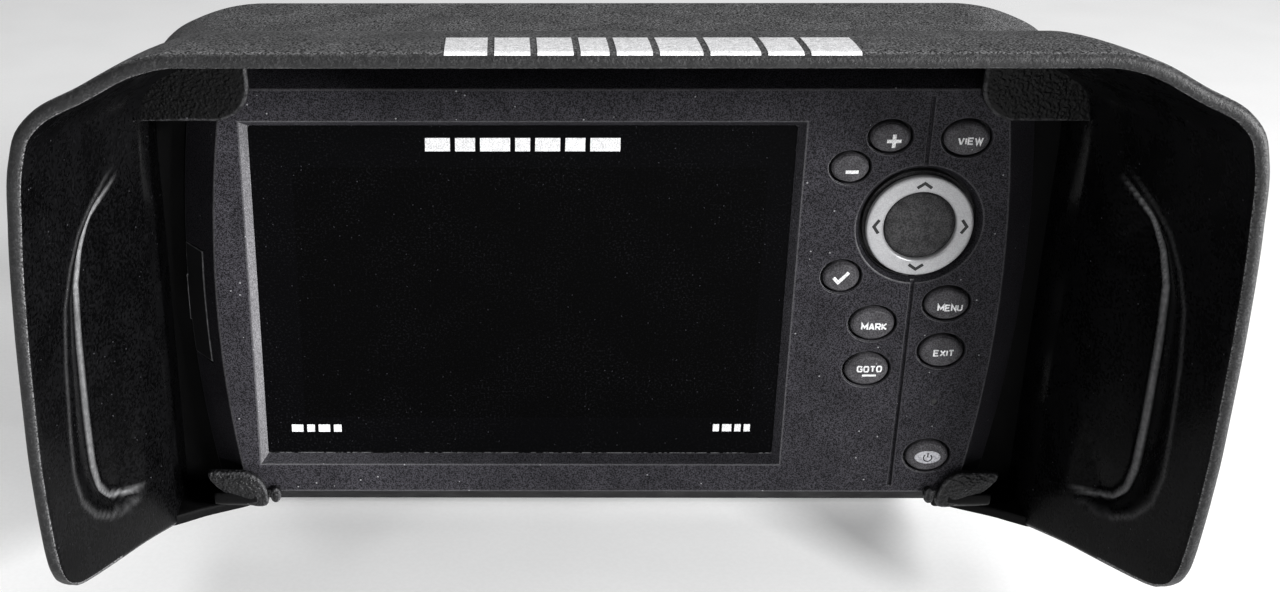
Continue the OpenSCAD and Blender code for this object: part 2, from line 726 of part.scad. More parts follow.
module visor_sheet() {
    n = 2 * half_n - 1;
    m = len(visor_steps);
    rows = [for (t = [0, visor_t], k = [0 : m - 1]) visor_row(k, t)];
    points = [for (r = rows) each r];
    outer = [for (j = [0 : m - 2]) each strip(j * n, (j + 1) * n, n)];
    inner = [for (j = [0 : m - 2]) each strip((m + j + 1) * n, (m + j) * n, n)];
    front = strip(m * n, 0, n);
    rear = strip((m - 1) * n, (2 * m - 1) * n, n);
    left = [for (j = [0 : m - 2]) each let (a = j * n, b = (m + j) * n)
        [[a, b, b + n], [a, b + n, a + n]]];
    right = [for (j = [0 : m - 2]) each let (a = (j + 1) * n - 1, b = (m + j + 1) * n - 1)
        [[a, b + n, b], [a, a + n, b + n]]];
    polyhedron(points, concat(outer, inner, front, rear, left, right));
}

// Tabs that hook over the corners of the face, and the floor under the unit's lower corners
module visor_hooks() {
    intersection() {
        slab(hook_y0, hook_y1)
            polygon([[80, 66], [80, 52.6], [81, 49.4], [83, 47], [86.5, 45.4], [110, 45.4], [110, 66]]);
        slab(-20, 20) polygon(offset_line(mirrored(crease_half), 1));
    }
    slab(hook_y0, hook_y1) polygon([[97.4, -45.4], [92, -44.3], [87, -45.2], [83.6, -47.4], [82, -51],
        [82.4, -54.4], [88.8, -54.9], [93.5, -52], [97.4, -48.2]]);
    slab_x(84, 95) polygon([[hook_y0, -50], [hook_y1, -52], [5.4, -58.4], [13, -58.4], [13, -61.5],
        [6, -61.2], [hook_y0, -54.8]]);
    translate([0, 0, -61.5]) linear_extrude(visor_t) polygon([[106.5, -2], [104.4, -0.4], [99, 2.8],
        [93.5, 5.3], [88.5, 7.8], [84, 11.5], [84, sleeve_depth], [106.5, sleeve_depth]]);
    visor_lip();
}

// The back of the sleeve turns in to close the gap beside the bezel
module visor_lip() difference() {
    slab(sleeve_depth - lip_t, sleeve_depth) polygon([[90, -60], [90, 57.5], [95, 57.2], [101, 54.6],
        [104, 51.5], [105.8, 46.5], [106.5, 40], [106.5, -60]]);
    intersection() {
        slab(0, big / 4) rounded_mid(bezel_w + 2 * visor_clear, bezel_h + 2 * visor_clear, bezel_corner_r);
        bowed_side(-visor_clear);
    }
}

module visor_shell() color("#232326") display_frame() {
    visor_sheet();
    both_sides() visor_hooks();
}

// ---------- Gimbal bracket ----------

// Side view of an arm: an eye at the pivot and a foot on the base, joined by a leaning strut
module arm_outline() {
    difference() {
        union() {
            circle(arm_eye_r);
            polygon([[-10.4, -3.6], [pivot_lead - foot_half, -pivot_h + base_r],
                [pivot_lead - foot_half, -pivot_h], [pivot_lead + foot_half, -pivot_h],
                [pivot_lead + foot_half, -pivot_h + base_r], [10.4, 3.6]]);
        }
        circle(arm_hole_r);
    }
}

module gimbal_bracket() color("#1a1a1c") {
    both_sides() translate([0, -pivot_lead, pivot_h]) slab_x(arm_in, arm_out) arm_outline();
    difference() {
        linear_extrude(base_t) rounded_mid(2 * arm_out, base_depth, base_r);
        for (x = [-1, 1], y = [-1, 1]) translate([x * hole_span_x / 2, y * hole_span_y / 2, 0]) {
            translate([0, 0, -1]) cylinder(r = hole_r, h = base_t + 2);
            translate([0, 0, base_t - spot_t]) cylinder(r = spot_r, h = spot_t + 1);
        }
    }
    for (y = [-10, 0, 10]) translate([-base_rib_w / 2, y - base_rib_t / 2, base_t - overlap])
        cube([base_rib_w, base_rib_t, 2]);
}

front_bezel();
window_glass();
lcd_panel();
lcd_tray();
keypad_membrane();
keypad_board();
button_plus();
button_minus();
button_view();
button_check();
button_mark();
button_goto();
button_menu();
button_exit();
button_power();
power_lens();
status_lens();
keypad_screws();
pad_rocker();
pad_ring();
pad_cap();
housing_gasket();
rear_housing();
housing_screws();
main_board();
board_screws();
shield_can();
gps_antenna();
buzzer();
backup_battery();
screen_cable();
card_socket();
card_cover();
power_socket();
power_contacts();
sonar_socket();
sonar_contacts();
pivot_inserts();
pivot_pads();
visor_shell();
gimbal_bracket();
knob_left();
knob_right();
knob_stud_left();
knob_stud_right();
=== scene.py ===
"""Looks of the chartplotter display: the moulded visor, the rounded bezel, keys, cursor ring and bracket."""
import json
import math

import bmesh
import bpy
import numpy as np
from mathutils import Matrix, Vector


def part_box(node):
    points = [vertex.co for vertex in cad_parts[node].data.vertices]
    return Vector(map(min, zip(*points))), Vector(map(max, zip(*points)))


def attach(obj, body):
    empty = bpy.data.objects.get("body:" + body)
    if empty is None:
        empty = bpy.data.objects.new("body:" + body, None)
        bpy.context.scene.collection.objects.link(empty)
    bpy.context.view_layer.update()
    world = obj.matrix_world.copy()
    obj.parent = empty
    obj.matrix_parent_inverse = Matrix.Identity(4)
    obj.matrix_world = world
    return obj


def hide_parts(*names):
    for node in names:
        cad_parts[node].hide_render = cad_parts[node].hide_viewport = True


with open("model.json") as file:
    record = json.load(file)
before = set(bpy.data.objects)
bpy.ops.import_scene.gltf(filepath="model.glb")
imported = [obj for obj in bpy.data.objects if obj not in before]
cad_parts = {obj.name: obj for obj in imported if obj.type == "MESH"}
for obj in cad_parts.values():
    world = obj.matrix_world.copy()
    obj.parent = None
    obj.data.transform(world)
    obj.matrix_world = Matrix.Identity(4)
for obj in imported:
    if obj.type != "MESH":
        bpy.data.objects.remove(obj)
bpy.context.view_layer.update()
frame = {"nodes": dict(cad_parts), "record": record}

MM = 0.001
FACE_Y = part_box("front_bezel")[0][1]
PIVOT_Z = (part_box("pivot_inserts")[0][2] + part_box("pivot_inserts")[1][2]) / 2
# Local millimetres start here: on the face, at the middle of its width and at the pivot's height
ORIGIN = np.array([0, FACE_Y, PIVOT_Z])
SIDES = (("left", -1), ("right", 1))


def place(points):
    """Points in local millimetres as an array of the frame's metres."""
    return np.asarray(points, float) * MM + ORIGIN


def local_box(node):
    """A CAD node's lowest and highest corners in local millimetres."""
    low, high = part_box(node)
    return (np.array(low) - ORIGIN) / MM, (np.array(high) - ORIGIN) / MM


def local_middle(node):
    """The middle of a CAD node's box and its half sizes, in local millimetres."""
    low, high = local_box(node)
    return (low + high) / 2, (high - low) / 2


def linked(name, data):
    """A new object in the scene."""
    item = bpy.data.objects.new(name, data)
    bpy.context.scene.collection.objects.link(item)
    return item


# --- Camera and light ---

# The camera fitted to the photo: its place in metres and its angles in degrees
CAMERA_PLACE = (-0.0261, -0.4276, 0.2508)
CAMERA_DOWN, CAMERA_YAW, CAMERA_ROLL = 25.14, -0.39, -0.14
LENS, SENSOR, SHIFT = 47.33, 36, (0.121, -0.003)
# Each lamp's place, target and two sides in metres, and its power in watts
LAMPS = {
    "key": ((0.69, -0.96, 0.57), (0, -0.07, 0.08), (0.18, 0.16), 15),
    "side": ((1.12, -0.5, 0.16), (-0.08, -0.07, 0.08), (0.08, 0.16), 26),
    "left": ((-0.62, -0.8, 0.42), (0.1, -0.08, 0.09), (0.08, 0.08), 1.3),
    "top": ((0, -0.05, 1.4), (0, 0, 0), (1.8, 1.4), 12.5),
}
WORLD_COLOUR, WORLD_STRENGTH = (0.93, 0.94, 0.96), 0.1
FLOOR_HALF = 4.0


def add_camera():
    data = bpy.data.cameras.new("camera")
    data.sensor_width = SENSOR
    data.lens = LENS
    data.shift_x, data.shift_y = SHIFT
    data.clip_start = 0.01
    camera = linked("camera", data)
    down, yaw, roll = map(math.radians, (CAMERA_DOWN, CAMERA_YAW, CAMERA_ROLL))
    turn = Matrix.Rotation(-yaw, 3, "Z") @ Matrix.Rotation(math.pi / 2 - down, 3, "X")
    camera.matrix_world = Matrix.LocRotScale(Vector(CAMERA_PLACE), turn @ Matrix.Rotation(roll, 3, "Z"), None)
    bpy.context.scene.camera = camera


def add_lamp(name, where, target, size, power):
    data = bpy.data.lights.new(name, "AREA")
    data.shape = "RECTANGLE"
    data.size, data.size_y = size
    data.energy = power
    lamp = linked(name, data)
    aim = (Vector(target) - Vector(where)).to_track_quat("-Z", "Y")
    lamp.matrix_world = Matrix.LocRotScale(Vector(where), aim, None)


def add_surroundings():
    """The studio: a faint even world light, four lamps and a plain pale floor."""
    world = bpy.data.worlds.new("studio")
    world.use_nodes = True
    background = world.node_tree.nodes["Background"]
    background.inputs["Color"].default_value = (*WORLD_COLOUR, 1)
    background.inputs["Strength"].default_value = WORLD_STRENGTH
    bpy.context.scene.world = world
    view = bpy.context.scene.view_settings
    view.view_transform, view.look = "Standard", "None"
    for name, lamp in LAMPS.items():
        add_lamp(name, *lamp)

    mesh = bpy.data.meshes.new("floor")
    corners = [(x * FLOOR_HALF, y * FLOOR_HALF, 0) for x, y in ((-1, -1), (1, -1), (1, 1), (-1, 1))]
    mesh.from_pydata(corners, [], [(0, 1, 2, 3)])
    floor = linked("floor", mesh)
    floor.data.materials.append(surface("floor_paper", (0.94, 0.94, 0.94), 0.9, mottle=0.01, mottle_mm=40,
                                        grit=0.01, grain=0.02, grain_mm=1.2))


# --- Materials ---

# The least part of a dust speck's radius, as a share of the part that varies
LEAST_SPECK = 0.35
# Noise stays near 0.5, so these parts of it are spread over a material's range
BROAD_SPAN = (0.3, 0.7)
FINE_SPAN = (0.38, 0.62)
PATCH_SPAN = (0.35, 0.65)
PATCH_MM = 1.4
DUST_ROUGH = 0.8
# The screen's picture area, and the dust that lies on the glass's lower edge
PICTURE_HALF = (54.0, 0, 32.4)
GLASS_FOOT = -42.5
DUST_LINE = 0.35


class Nodes:
    """A material's node tree, with short calls to add and join nodes."""

    def __init__(self, name):
        self.material = bpy.data.materials.new(name)
        self.material.use_nodes = True
        self.tree = self.material.node_tree
        self.shader = self.tree.nodes["Principled BSDF"]
        self.coords = self.add("TexCoord").outputs["Object"]

    def add(self, kind):
        return self.tree.nodes.new("ShaderNode" + kind)

    def join(self, source, socket):
        """Links a node's output to a socket, or sets the socket to a plain value."""
        if hasattr(source, "is_output"):
            self.tree.links.new(source, socket)
        else:
            socket.default_value = source

    def math(self, kind, a, b):
        node = self.add("Math")
        node.operation = kind
        self.join(a, node.inputs[0])
        self.join(b, node.inputs[1])
        return node.outputs[0]

    def ramp(self, value, low, high, start=0.0, end=1.0):
        """Maps value smoothly from low..high to start..end."""
        node = self.add("MapRange")
        node.interpolation_type = "SMOOTHSTEP"
        for socket, v in zip(node.inputs[:5], (value, low, high, start, end)):
            self.join(v, socket)
        return node.outputs[0]

    def noise(self, size_mm, detail, stretch=None):
        """Noise of a size, whose coordinates may be multiplied by stretch on each axis."""
        where = self.coords
        if stretch:
            mapping = self.add("Mapping")
            self.join(where, mapping.inputs["Vector"])
            mapping.inputs["Scale"].default_value = stretch
            where = mapping.outputs[0]
        node = self.add("TexNoise")
        node.inputs["Scale"].default_value = 1 / (size_mm * MM)
        node.inputs["Detail"].default_value = detail
        self.join(where, node.inputs["Vector"])
        return node.outputs["Fac"]

    def cells(self, size_mm, feature="F1"):
        node = self.add("TexVoronoi")
        node.feature = feature
        node.inputs["Scale"].default_value = 1 / (size_mm * MM)
        self.join(self.coords, node.inputs["Vector"])
        return node

    def specks(self, pitch_mm, radius, share):
        """1 on round specks: one may lie in each cell, and only that share of the cells holds one."""
        node = self.cells(pitch_mm)
        split = self.add("SeparateColor")
        self.join(node.outputs["Color"], split.inputs[0])
        keep = self.math("LESS_THAN", split.outputs[0], share)
        size = self.math("MULTIPLY_ADD", split.outputs[1], radius)
        size.node.inputs[2].default_value = radius * LEAST_SPECK
        near = self.math("LESS_THAN", node.outputs["Distance"], size)
        return self.math("MULTIPLY", near, keep)

    def mix(self, factor, a, b, kind="MIX"):
        node = self.add("Mix")
        node.data_type = "RGBA"
        node.blend_type = kind
        self.join(factor, node.inputs["Factor"])
        for value, socket in ((a, node.inputs[6]), (b, node.inputs[7])):
            self.join(value if hasattr(value, "is_output") else (*value, 1), socket)
        return node.outputs[2]

    def between(self, axis, low, high):
        """1 where the object coordinate on one axis (0 X, 1 Y, 2 Z) lies between low and high, in metres."""
        split = self.add("SeparateXYZ")
        self.join(self.coords, split.inputs[0])
        return self.math("MULTIPLY", self.math("GREATER_THAN", split.outputs[axis], low),
                         self.math("LESS_THAN", split.outputs[axis], high))

    def bump(self, height, strength, depth_mm):
        node = self.add("Bump")
        node.inputs["Strength"].default_value = strength
        node.inputs["Distance"].default_value = depth_mm * MM
        self.join(height, node.inputs["Height"])
        return node.outputs[0]


def scaled(colour, factor):
    return tuple(min(1.0, c * factor) for c in colour)


def surface(name, colour, rough, mottle=0.12, mottle_mm=7, grit=0.2, grain=0.4, grain_mm=0.45, grain_depth=0.06,
            metallic=0.0, specular=0.4, pebble=0.0, pebble_mm=1.0, dust=None, wear_and_painted_light=None, stretch=None,
            rough_spread=0.08, patch_least=0.25):
    """A moulded or metal surface: broad mottling, a gritty grain and, if wanted, pebbles, dust and an edge colour
    in patches, which is wear on some pieces and painted shade and highlight on the visor and the bezel.

    dust is the specks' pitch, radius, share of cells and, if not grey, colour.
    """
    n = Nodes(name)
    broad = n.noise(mottle_mm, 3)
    fine = n.noise(grain_mm, 2, stretch)
    tone = n.mix(n.ramp(broad, *BROAD_SPAN), scaled(colour, 1 - mottle), scaled(colour, 1 + mottle))
    height = fine
    shade = n.ramp(fine, *FINE_SPAN, 1 - grit, 1 + grit)
    if pebble:
        crease = n.ramp(n.cells(pebble_mm, "SMOOTH_F1").outputs["Distance"], 0.1, 0.62)
        height = n.math("MULTIPLY_ADD", crease, -pebble)
        n.join(fine, height.node.inputs[2])
        shade = n.math("MULTIPLY", shade, n.ramp(crease, 0, 1, 1.12, 0.8))
    tone = n.mix(1.0, tone, shade, "MULTIPLY")
    both = n.math("ADD", n.math("MULTIPLY", broad, 0.6), n.math("MULTIPLY", fine, 0.4))
    rough_now = n.ramp(both, *BROAD_SPAN, rough - rough_spread, rough + rough_spread)
    # Edge colour from the mesh's attribute: wear, and on the visor and the bezel painted shade and highlight
    if wear_and_painted_light:
        edge = n.add("Attribute")
        edge.attribute_name = "wear_and_painted_light"
        patchy = n.ramp(n.noise(PATCH_MM, 3), *PATCH_SPAN, patch_least, 1)
        tone = n.mix(n.math("MULTIPLY", edge.outputs["Fac"], patchy), tone, wear_and_painted_light)
    if dust:
        speck = n.specks(*dust[:3])
        tone = n.mix(speck, tone, dust[3] if dust[3:] else DUST_GREY)
        rough_now = n.math("MAXIMUM", rough_now, n.math("MULTIPLY", speck, DUST_ROUGH))
    n.join(tone, n.shader.inputs["Base Color"])
    n.join(rough_now, n.shader.inputs["Roughness"])
    n.join(n.bump(height, grain, grain_depth), n.shader.inputs["Normal"])
    n.shader.inputs["Metallic"].default_value = metallic
    n.shader.inputs["Specular IOR Level"].default_value = specular
    return n.material


def glass_surface():
    """Black cover glass: glossy, with a faint outline of the picture area, a hazy film and dust."""
    n = Nodes("cover_glass")
    middle, _ = local_middle("lcd_panel")
    a, b = place(middle - np.array(PICTURE_HALF)), place(middle + np.array(PICTURE_HALF))
    area = n.math("MULTIPLY", n.between(0, a[0], b[0]), n.between(2, a[2], b[2]))
    film = n.ramp(n.noise(18, 4), 0.35, 0.7)
    base = n.mix(area, (0.0011, 0.0011, 0.0014), (0.0007, 0.0007, 0.0008))
    haze = n.math("MULTIPLY", n.ramp(n.noise(0.5, 3), 0.5, 0.78), n.ramp(film, 0, 1, 0.35, 1))
    base = n.mix(haze, base, (0.009, 0.009, 0.0105))
    foot = place((0, 0, GLASS_FOOT))[2]
    settled = n.math("MULTIPLY", n.between(2, foot, foot + DUST_LINE * MM), n.ramp(n.noise(0.9, 3), 0.4, 0.62))
    base = n.mix(settled, base, (0.1, 0.1, 0.104))
    speck = n.math("MAXIMUM", n.specks(0.9, 0.11, 0.1), n.specks(4.0, 0.04, 0.2))
    base = n.mix(speck, base, (0.06, 0.06, 0.07))
    n.join(base, n.shader.inputs["Base Color"])
    n.join(n.math("MAXIMUM", n.ramp(film, 0, 1, 0.12, 0.24), n.math("MULTIPLY", speck, 0.7)),
           n.shader.inputs["Roughness"])
    n.shader.inputs["Specular IOR Level"].default_value = 0.02
    return n.material


DUST_GREY = (0.25, 0.25, 0.26)
WORN_GREY = (0.09, 0.09, 0.094)


def make_materials():
    """The materials of the record's slots, of the prints, of finishes within a slot and of copies of the bezel
    plastic painted lighter and darker, as surface() takes them.
    """
    pebbly = dict(mottle=0.3, mottle_mm=4, grain_mm=0.4, grain_depth=0.16, pebble_mm=0.8,
                  dust=(2.0, 0.07, 0.2, (0.1, 0.1, 0.11)))
    rows = {
        # The bezel plastic's light edge colour is painted highlight on edges facing up and right round the keys and
        # the pad, and wear with painted highlight elsewhere
        "bezel_plastic": ((0.0265, 0.0255, 0.0297), 0.48, dict(specular=0.05, mottle=0.14, mottle_mm=9, grit=0.7,
            grain=0.8, grain_mm=0.27, wear_and_painted_light=(0.34, 0.34, 0.35), patch_least=0.6, dust=(2.2, 0.08, 0.2))),
        # A darker copy of the bezel plastic: painted shade on the slopes round the window and the pad
        "bezel_slope": ((0.02, 0.0195, 0.0225), 0.46, dict(specular=0.05, grit=0.6, grain_mm=0.3,
            dust=(1.2, 0.07, 0.2))),
        # A near-black copy of the bezel plastic: painted shade on the chin under the face
        "bezel_chin_shaded": ((0.0042, 0.0042, 0.005), 0.5, dict(specular=0.04, grit=0.6, grain_mm=0.3,
            dust=(1.6, 0.06, 0.15))),
        # A light copy of the bezel plastic: painted light on the window's slope that faces right
        "bezel_slope_lit": ((0.125, 0.123, 0.13), 0.42, dict(specular=0.05, grit=0.3, grain_mm=0.34,
            dust=(1.2, 0.07, 0.2))),
        "screen": ((0.006, 0.006, 0.007), 0.25, dict(mottle=0.2, grain=0.05)),
        "pressed_steel": ((0.5, 0.5, 0.52), 0.38, dict(mottle=0.08, grain=0.25, metallic=1, stretch=(1, 1, 12))),
        "keypad_rubber": ((0.05, 0.05, 0.054), 0.75, dict(grain=0.3, grain_mm=0.3)),
        "circuit_board": ((0.02, 0.13, 0.05), 0.42, dict(mottle=0.35, mottle_mm=3)),
        "button_rubber": ((0.062, 0.06, 0.065), 0.42, dict(specular=0.12, mottle=0.2, mottle_mm=2.5, grit=0.4,
            grain=0.6, grain_mm=0.3, wear_and_painted_light=WORN_GREY, dust=(1.6, 0.08, 0.16))),
        "lens_plastic": ((0.42, 0.42, 0.45), 0.3, dict(mottle_mm=2, grain=0.1)),
        "silver_ring": ((0.36, 0.36, 0.37), 0.36, dict(mottle=0.05, mottle_mm=4, grit=0.1, grain=0.15,
            grain_mm=0.25, metallic=0.3)),
        "pad_plastic": ((0.037, 0.0365, 0.038), 0.42, dict(specular=0.1, mottle=0.3, mottle_mm=2.2, grit=0.42,
            grain_mm=0.34, dust=(1.4, 0.06, 0.2))),
        "seal_rubber": ((0.016, 0.016, 0.017), 0.65, dict(specular=0.25, grain=0.3, wear_and_painted_light=(0.3, 0.3, 0.31),
            patch_least=0.5)),
        "housing_plastic": ((0.026, 0.026, 0.029), 0.52, dict(specular=0.3, mottle=0.15, mottle_mm=8, grit=0.3,
            grain=0.6, grain_mm=0.5, grain_depth=0.08, wear_and_painted_light=WORN_GREY)),
        "stainless": ((0.62, 0.62, 0.61), 0.28, dict(mottle=0.06, grit=0.08, grain=0.15, grain_mm=0.2, metallic=1)),
        "ceramic": ((0.5, 0.43, 0.32), 0.5, dict(grain=0.2)),
        "flex_cable": ((0.38, 0.18, 0.04), 0.35, dict(grain=0.1)),
        "brass": ((0.72, 0.52, 0.24), 0.3, dict(grit=0.08, grain=0.2, grain_mm=0.25, metallic=1)),
        # The outside's grey is a painted highlight on the black plastic, and its near-black edge colour is painted
        # shade on the rounded rim and the wings' outside
        "visor_plastic": ((0.092, 0.092, 0.094), 0.55, dict(specular=0.28, mottle=0.16, mottle_mm=12, grit=0.9,
            grain=1.0, grain_mm=0.4, grain_depth=0.14, pebble=0.35, pebble_mm=0.8, rough_spread=0.05,
            wear_and_painted_light=(0.008, 0.008, 0.0085), patch_least=0.9, dust=(4, 0.05, 0.14))),
        # The inside's pale edge colour is a painted highlight along the grips' feet and outer edges
        "visor_inside": ((0.0022, 0.0022, 0.0024), 0.28, dict(specular=0.03, mottle=0.3, mottle_mm=10, grit=0.6,
            grain=0.5, grain_mm=0.7, grain_depth=0.07, wear_and_painted_light=(0.22, 0.22, 0.225), patch_least=0.7,
            rough_spread=0.05, dust=(1.5, 0.09, 0.22, (0.06, 0.06, 0.066)))),
        "visor_pebble": ((0.0028, 0.0028, 0.003), 0.34, dict(specular=0.12, grit=0.5, grain=0.8, pebble=0.8,
            wear_and_painted_light=(0.06, 0.06, 0.063), **pebbly)),
        "visor_claw": ((0.014, 0.014, 0.0148), 0.36, dict(specular=0.2, grit=0.6, grain=1.0, pebble=1.3,
            wear_and_painted_light=(0.07, 0.07, 0.073), **pebbly)),
        "visor_shade": ((0.0025, 0.0025, 0.0027), 0.6, dict(specular=0.08, grit=0.4)),
        "bracket_plastic": ((0.022, 0.022, 0.024), 0.5, dict(specular=0.35, grit=0.3, grain=0.55,
            grain_depth=0.08, wear_and_painted_light=WORN_GREY)),
        "knob_plastic": ((0.02, 0.02, 0.022), 0.42, dict(grit=0.3, grain_mm=0.4, wear_and_painted_light=WORN_GREY)),
        "print_white": ((0.75, 0.75, 0.76), 0.55, dict(mottle_mm=1.2, grain=0.3, grain_mm=0.3)),
        "print_dark": ((0.009, 0.009, 0.0095), 0.5, dict(mottle=0.2, grain=0.2)),
        "smoked_lens": ((0.004, 0.004, 0.0045), 0.2, dict(mottle=0.2, grain=0.05)),
    }
    made = {name: surface(name, colour, rough, **rest) for name, (colour, rough, rest) in rows.items()}
    made["cover_glass"] = glass_surface()
    return made


# --- Mesh building ---

# A CAD node's edges over this many degrees are rounded, in this many steps
SHARP_ANGLE = 28
ROUND_STEPS = 3
# Points this close (metres) are one, and so are faces that turn by less than this (degrees)
SAME_POINT = 2e-6
SAME_PLANE = 0.6
OVAL_SIDES = 72
ROUND_SIDES = 128


def mesh_of(bm, name):
    """Turns a bmesh into a mesh, with its faces turned outwards."""
    bmesh.ops.recalc_face_normals(bm, faces=bm.faces)
    mesh = bpy.data.meshes.new(name)
    bm.to_mesh(mesh)
    bm.free()
    return mesh


def add_piece(name, mesh, body, slot, materials=None, replaces=()):
    """Links a mesh as a piece that rides on a body and takes its finish from a slot."""
    piece = linked(name, mesh)
    for material in materials or [slot]:
        mesh.materials.append(MATERIALS[material])
    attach(piece, body)
    if replaces:
        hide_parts(*replaces)
    return piece


def finish_shading(piece, angle=50):
    """Smooth faces, split at edges sharper than angle, with large faces kept flat."""
    piece.data.shade_smooth()
    piece.data.set_sharp_from_angle(angle=math.radians(angle))
    normals = piece.modifiers.new("flat_faces", "WEIGHTED_NORMAL")
    normals.keep_sharp = True


def rounded_copy(node, width, body, slot, extra=(), choose=None, wear_and_highlight=None):
    """A CAD node's shape with its outer edges rounded.

    choose picks a face's material among slot and extra, and wear_and_highlight gives how much of the edge colour a
    rounded edge takes, which is wear and, on the bezel, painted highlight.
    """
    bm = bmesh.new()
    bm.from_mesh(frame["nodes"][node].data)
    corners = np.array([v.co for v in bm.verts])
    low, high = corners.min(axis=0), corners.max(axis=0)
    bmesh.ops.remove_doubles(bm, verts=bm.verts, dist=SAME_POINT)
    bmesh.ops.dissolve_limit(bm, angle_limit=math.radians(SAME_PLANE), verts=bm.verts, edges=bm.edges)
    sharp = [e for e in bm.edges
             if e.is_manifold and e.is_convex and e.calc_face_angle() > math.radians(SHARP_ANGLE)]
    rounds = bmesh.ops.bevel(bm, geom=sharp, offset=width * MM, segments=ROUND_STEPS, profile=0.5,
                             affect="EDGES", clamp_overlap=False)
    round_faces = set(rounds["faces"])
    for vertex in bm.verts:
        vertex.co = np.clip(vertex.co, low, high)
    bm.verts.index_update()
    wear_and_painted_light = [v.index for v in bm.verts if v.link_faces and all(f in round_faces for f in v.link_faces)]
    mesh = bpy.data.meshes.new(node + "_rounded")
    bm.to_mesh(mesh)
    bm.free()
    edge = mesh.attributes.new("wear_and_painted_light", "FLOAT", "POINT")
    for index in wear_and_painted_light:
        vertex = mesh.vertices[index]
        edge.data[index].value = wear_and_highlight(vertex.co, vertex.normal) if wear_and_highlight else 1.0
    piece = add_piece(node + "_rounded", mesh, body, slot, [slot, *extra], [node])
    if choose:
        for face in mesh.polygons:
            face.material_index = choose(face)
    finish_shading(piece)


def ring_mesh(name, rings):
    """A closed skin through rings of points, with a face over both ends unless the last ring is the first again."""
    bm = bmesh.new()
    looped = np.array_equal(rings[0], rings[-1])
    verts = [[bm.verts.new(p) for p in ring] for ring in (rings[:-1] if looped else rings)]
    verts += verts[:1] if looped else []
    count = len(rings[0])
    for a, b in zip(verts, verts[1:]):
        for i in range(count):
            j = (i + 1) % count
            bm.faces.new((a[i], a[j], b[j], b[i]))
    if not looped:
        bm.faces.new(list(reversed(verts[0])))
        bm.faces.new(verts[-1])
    return mesh_of(bm, name)


def oval_rings(centre, half_w, half_h, profile, count=OVAL_SIDES):
    """Oval rings about a centre on the face: profile lists (inset, depth Y) from back to front."""
    angles = [2 * math.pi * i / count for i in range(count)]
    return [place([(centre[0] + (half_w - inset) * math.cos(a), y, centre[1] + (half_h - inset) * math.sin(a))
                   for a in angles]) for inset, y in profile]


# --- Visor ---

# Outlines in X and Z: the visor's front rim, the crease where the sleeve begins, and the sleeve's back
RIM = [(0, 80.2), (45, 80.2), (84, 80.2), (91, 79), (102, 73.6), (110.6, 69), (114.2, 65), (116.3, 59), (118.4, 45),
       (120.2, 25), (121.3, 5), (121.9, -12), (121.8, -24), (121.3, -34), (120.3, -40.4)]
SLEEVE_SIDE = [(107.8, 40), (108, 20), (108, 0), (108, -20), (108, -36), (108, -50), (108, -61.5)]
CREASE = [(0, 64.2), (45, 64.2), (80, 64.2), (88, 63), (96, 60.4), (102, 57.2), (105.6, 53), (107.2, 47)]
CREASE += SLEEVE_SIDE
BACK = [(0, 62.4), (45, 62.4), (80, 62.4), (88, 61.6), (95, 59.4), (101.5, 56), (105.6, 51.6), (107.2, 46)]
BACK += SLEEVE_SIDE
# The wings' lower edge in Y and Z, from the rounded tip to the crease, and v at each of its points
WING_FOOT = [(-54.6, -40.4), (-52.7, -42.6), (-50.3, -44.3), (-47.3, -45.8), (-44, -47), (-33.5, -50.4),
             (-15.5, -56), (-0.04, -61.5)]
FOOT_STEPS = [0, 0.048, 0.1, 0.16, 0.22, 0.4, 0.7, 1]
TIP_R, TIP_Z = 10.5, -34
# Depth Y of the rim and the crease at Z 0, with how much it changes per millimetre of height
RIM_Y, RIM_LEAN = -60, -0.08
CREASE_Y, CREASE_LEAN = -2.5, -0.04
# The back's depth at the unit's lower half, and how much further back it is at the top
BACK_Y, BACK_STEP = 18, 15
VISOR_T = 3.0
BROW_RISE = 15.0
# The brow begins to rise this far from the middle and is full after BROW_FADE
BROW_END, BROW_FADE = 106, 22
# The sheet's length in front of the crease and behind it
HOOD_RUN, SLEEVE_RUN = 62, 28
# The pressed-in grip of each wing, in Y and Z: the foot of its wall and the wall's outer edge
GRIP_FOOT = [(-16.5, 39.6), (-22, 36.6), (-26.5, 33.2), (-31.5, 27), (-34, 20), (-34.2, 7), (-33.4, -13),
             (-32.8, -25), (-31.3, -31.5), (-27.5, -36.6), (-21, -39.8), (-14, -40.6)]
GRIP_EDGE = [(-19.5, 41.4), (-24, 40.2), (-31, 37.4), (-37.5, 33.5), (-42, 27.5), (-45, 20), (-46, 8), (-46, -5),
             (-46, -19), (-44, -27), (-39, -33.5), (-32, -38.4), (-23, -41.8), (-12, -42.8)]
GRIP_DEPTH = 3.4
BEAD_RISE, BEAD_HALF = 0.75, 1.25
# The wings, which have the grips, are further out than this
WING_X = 100


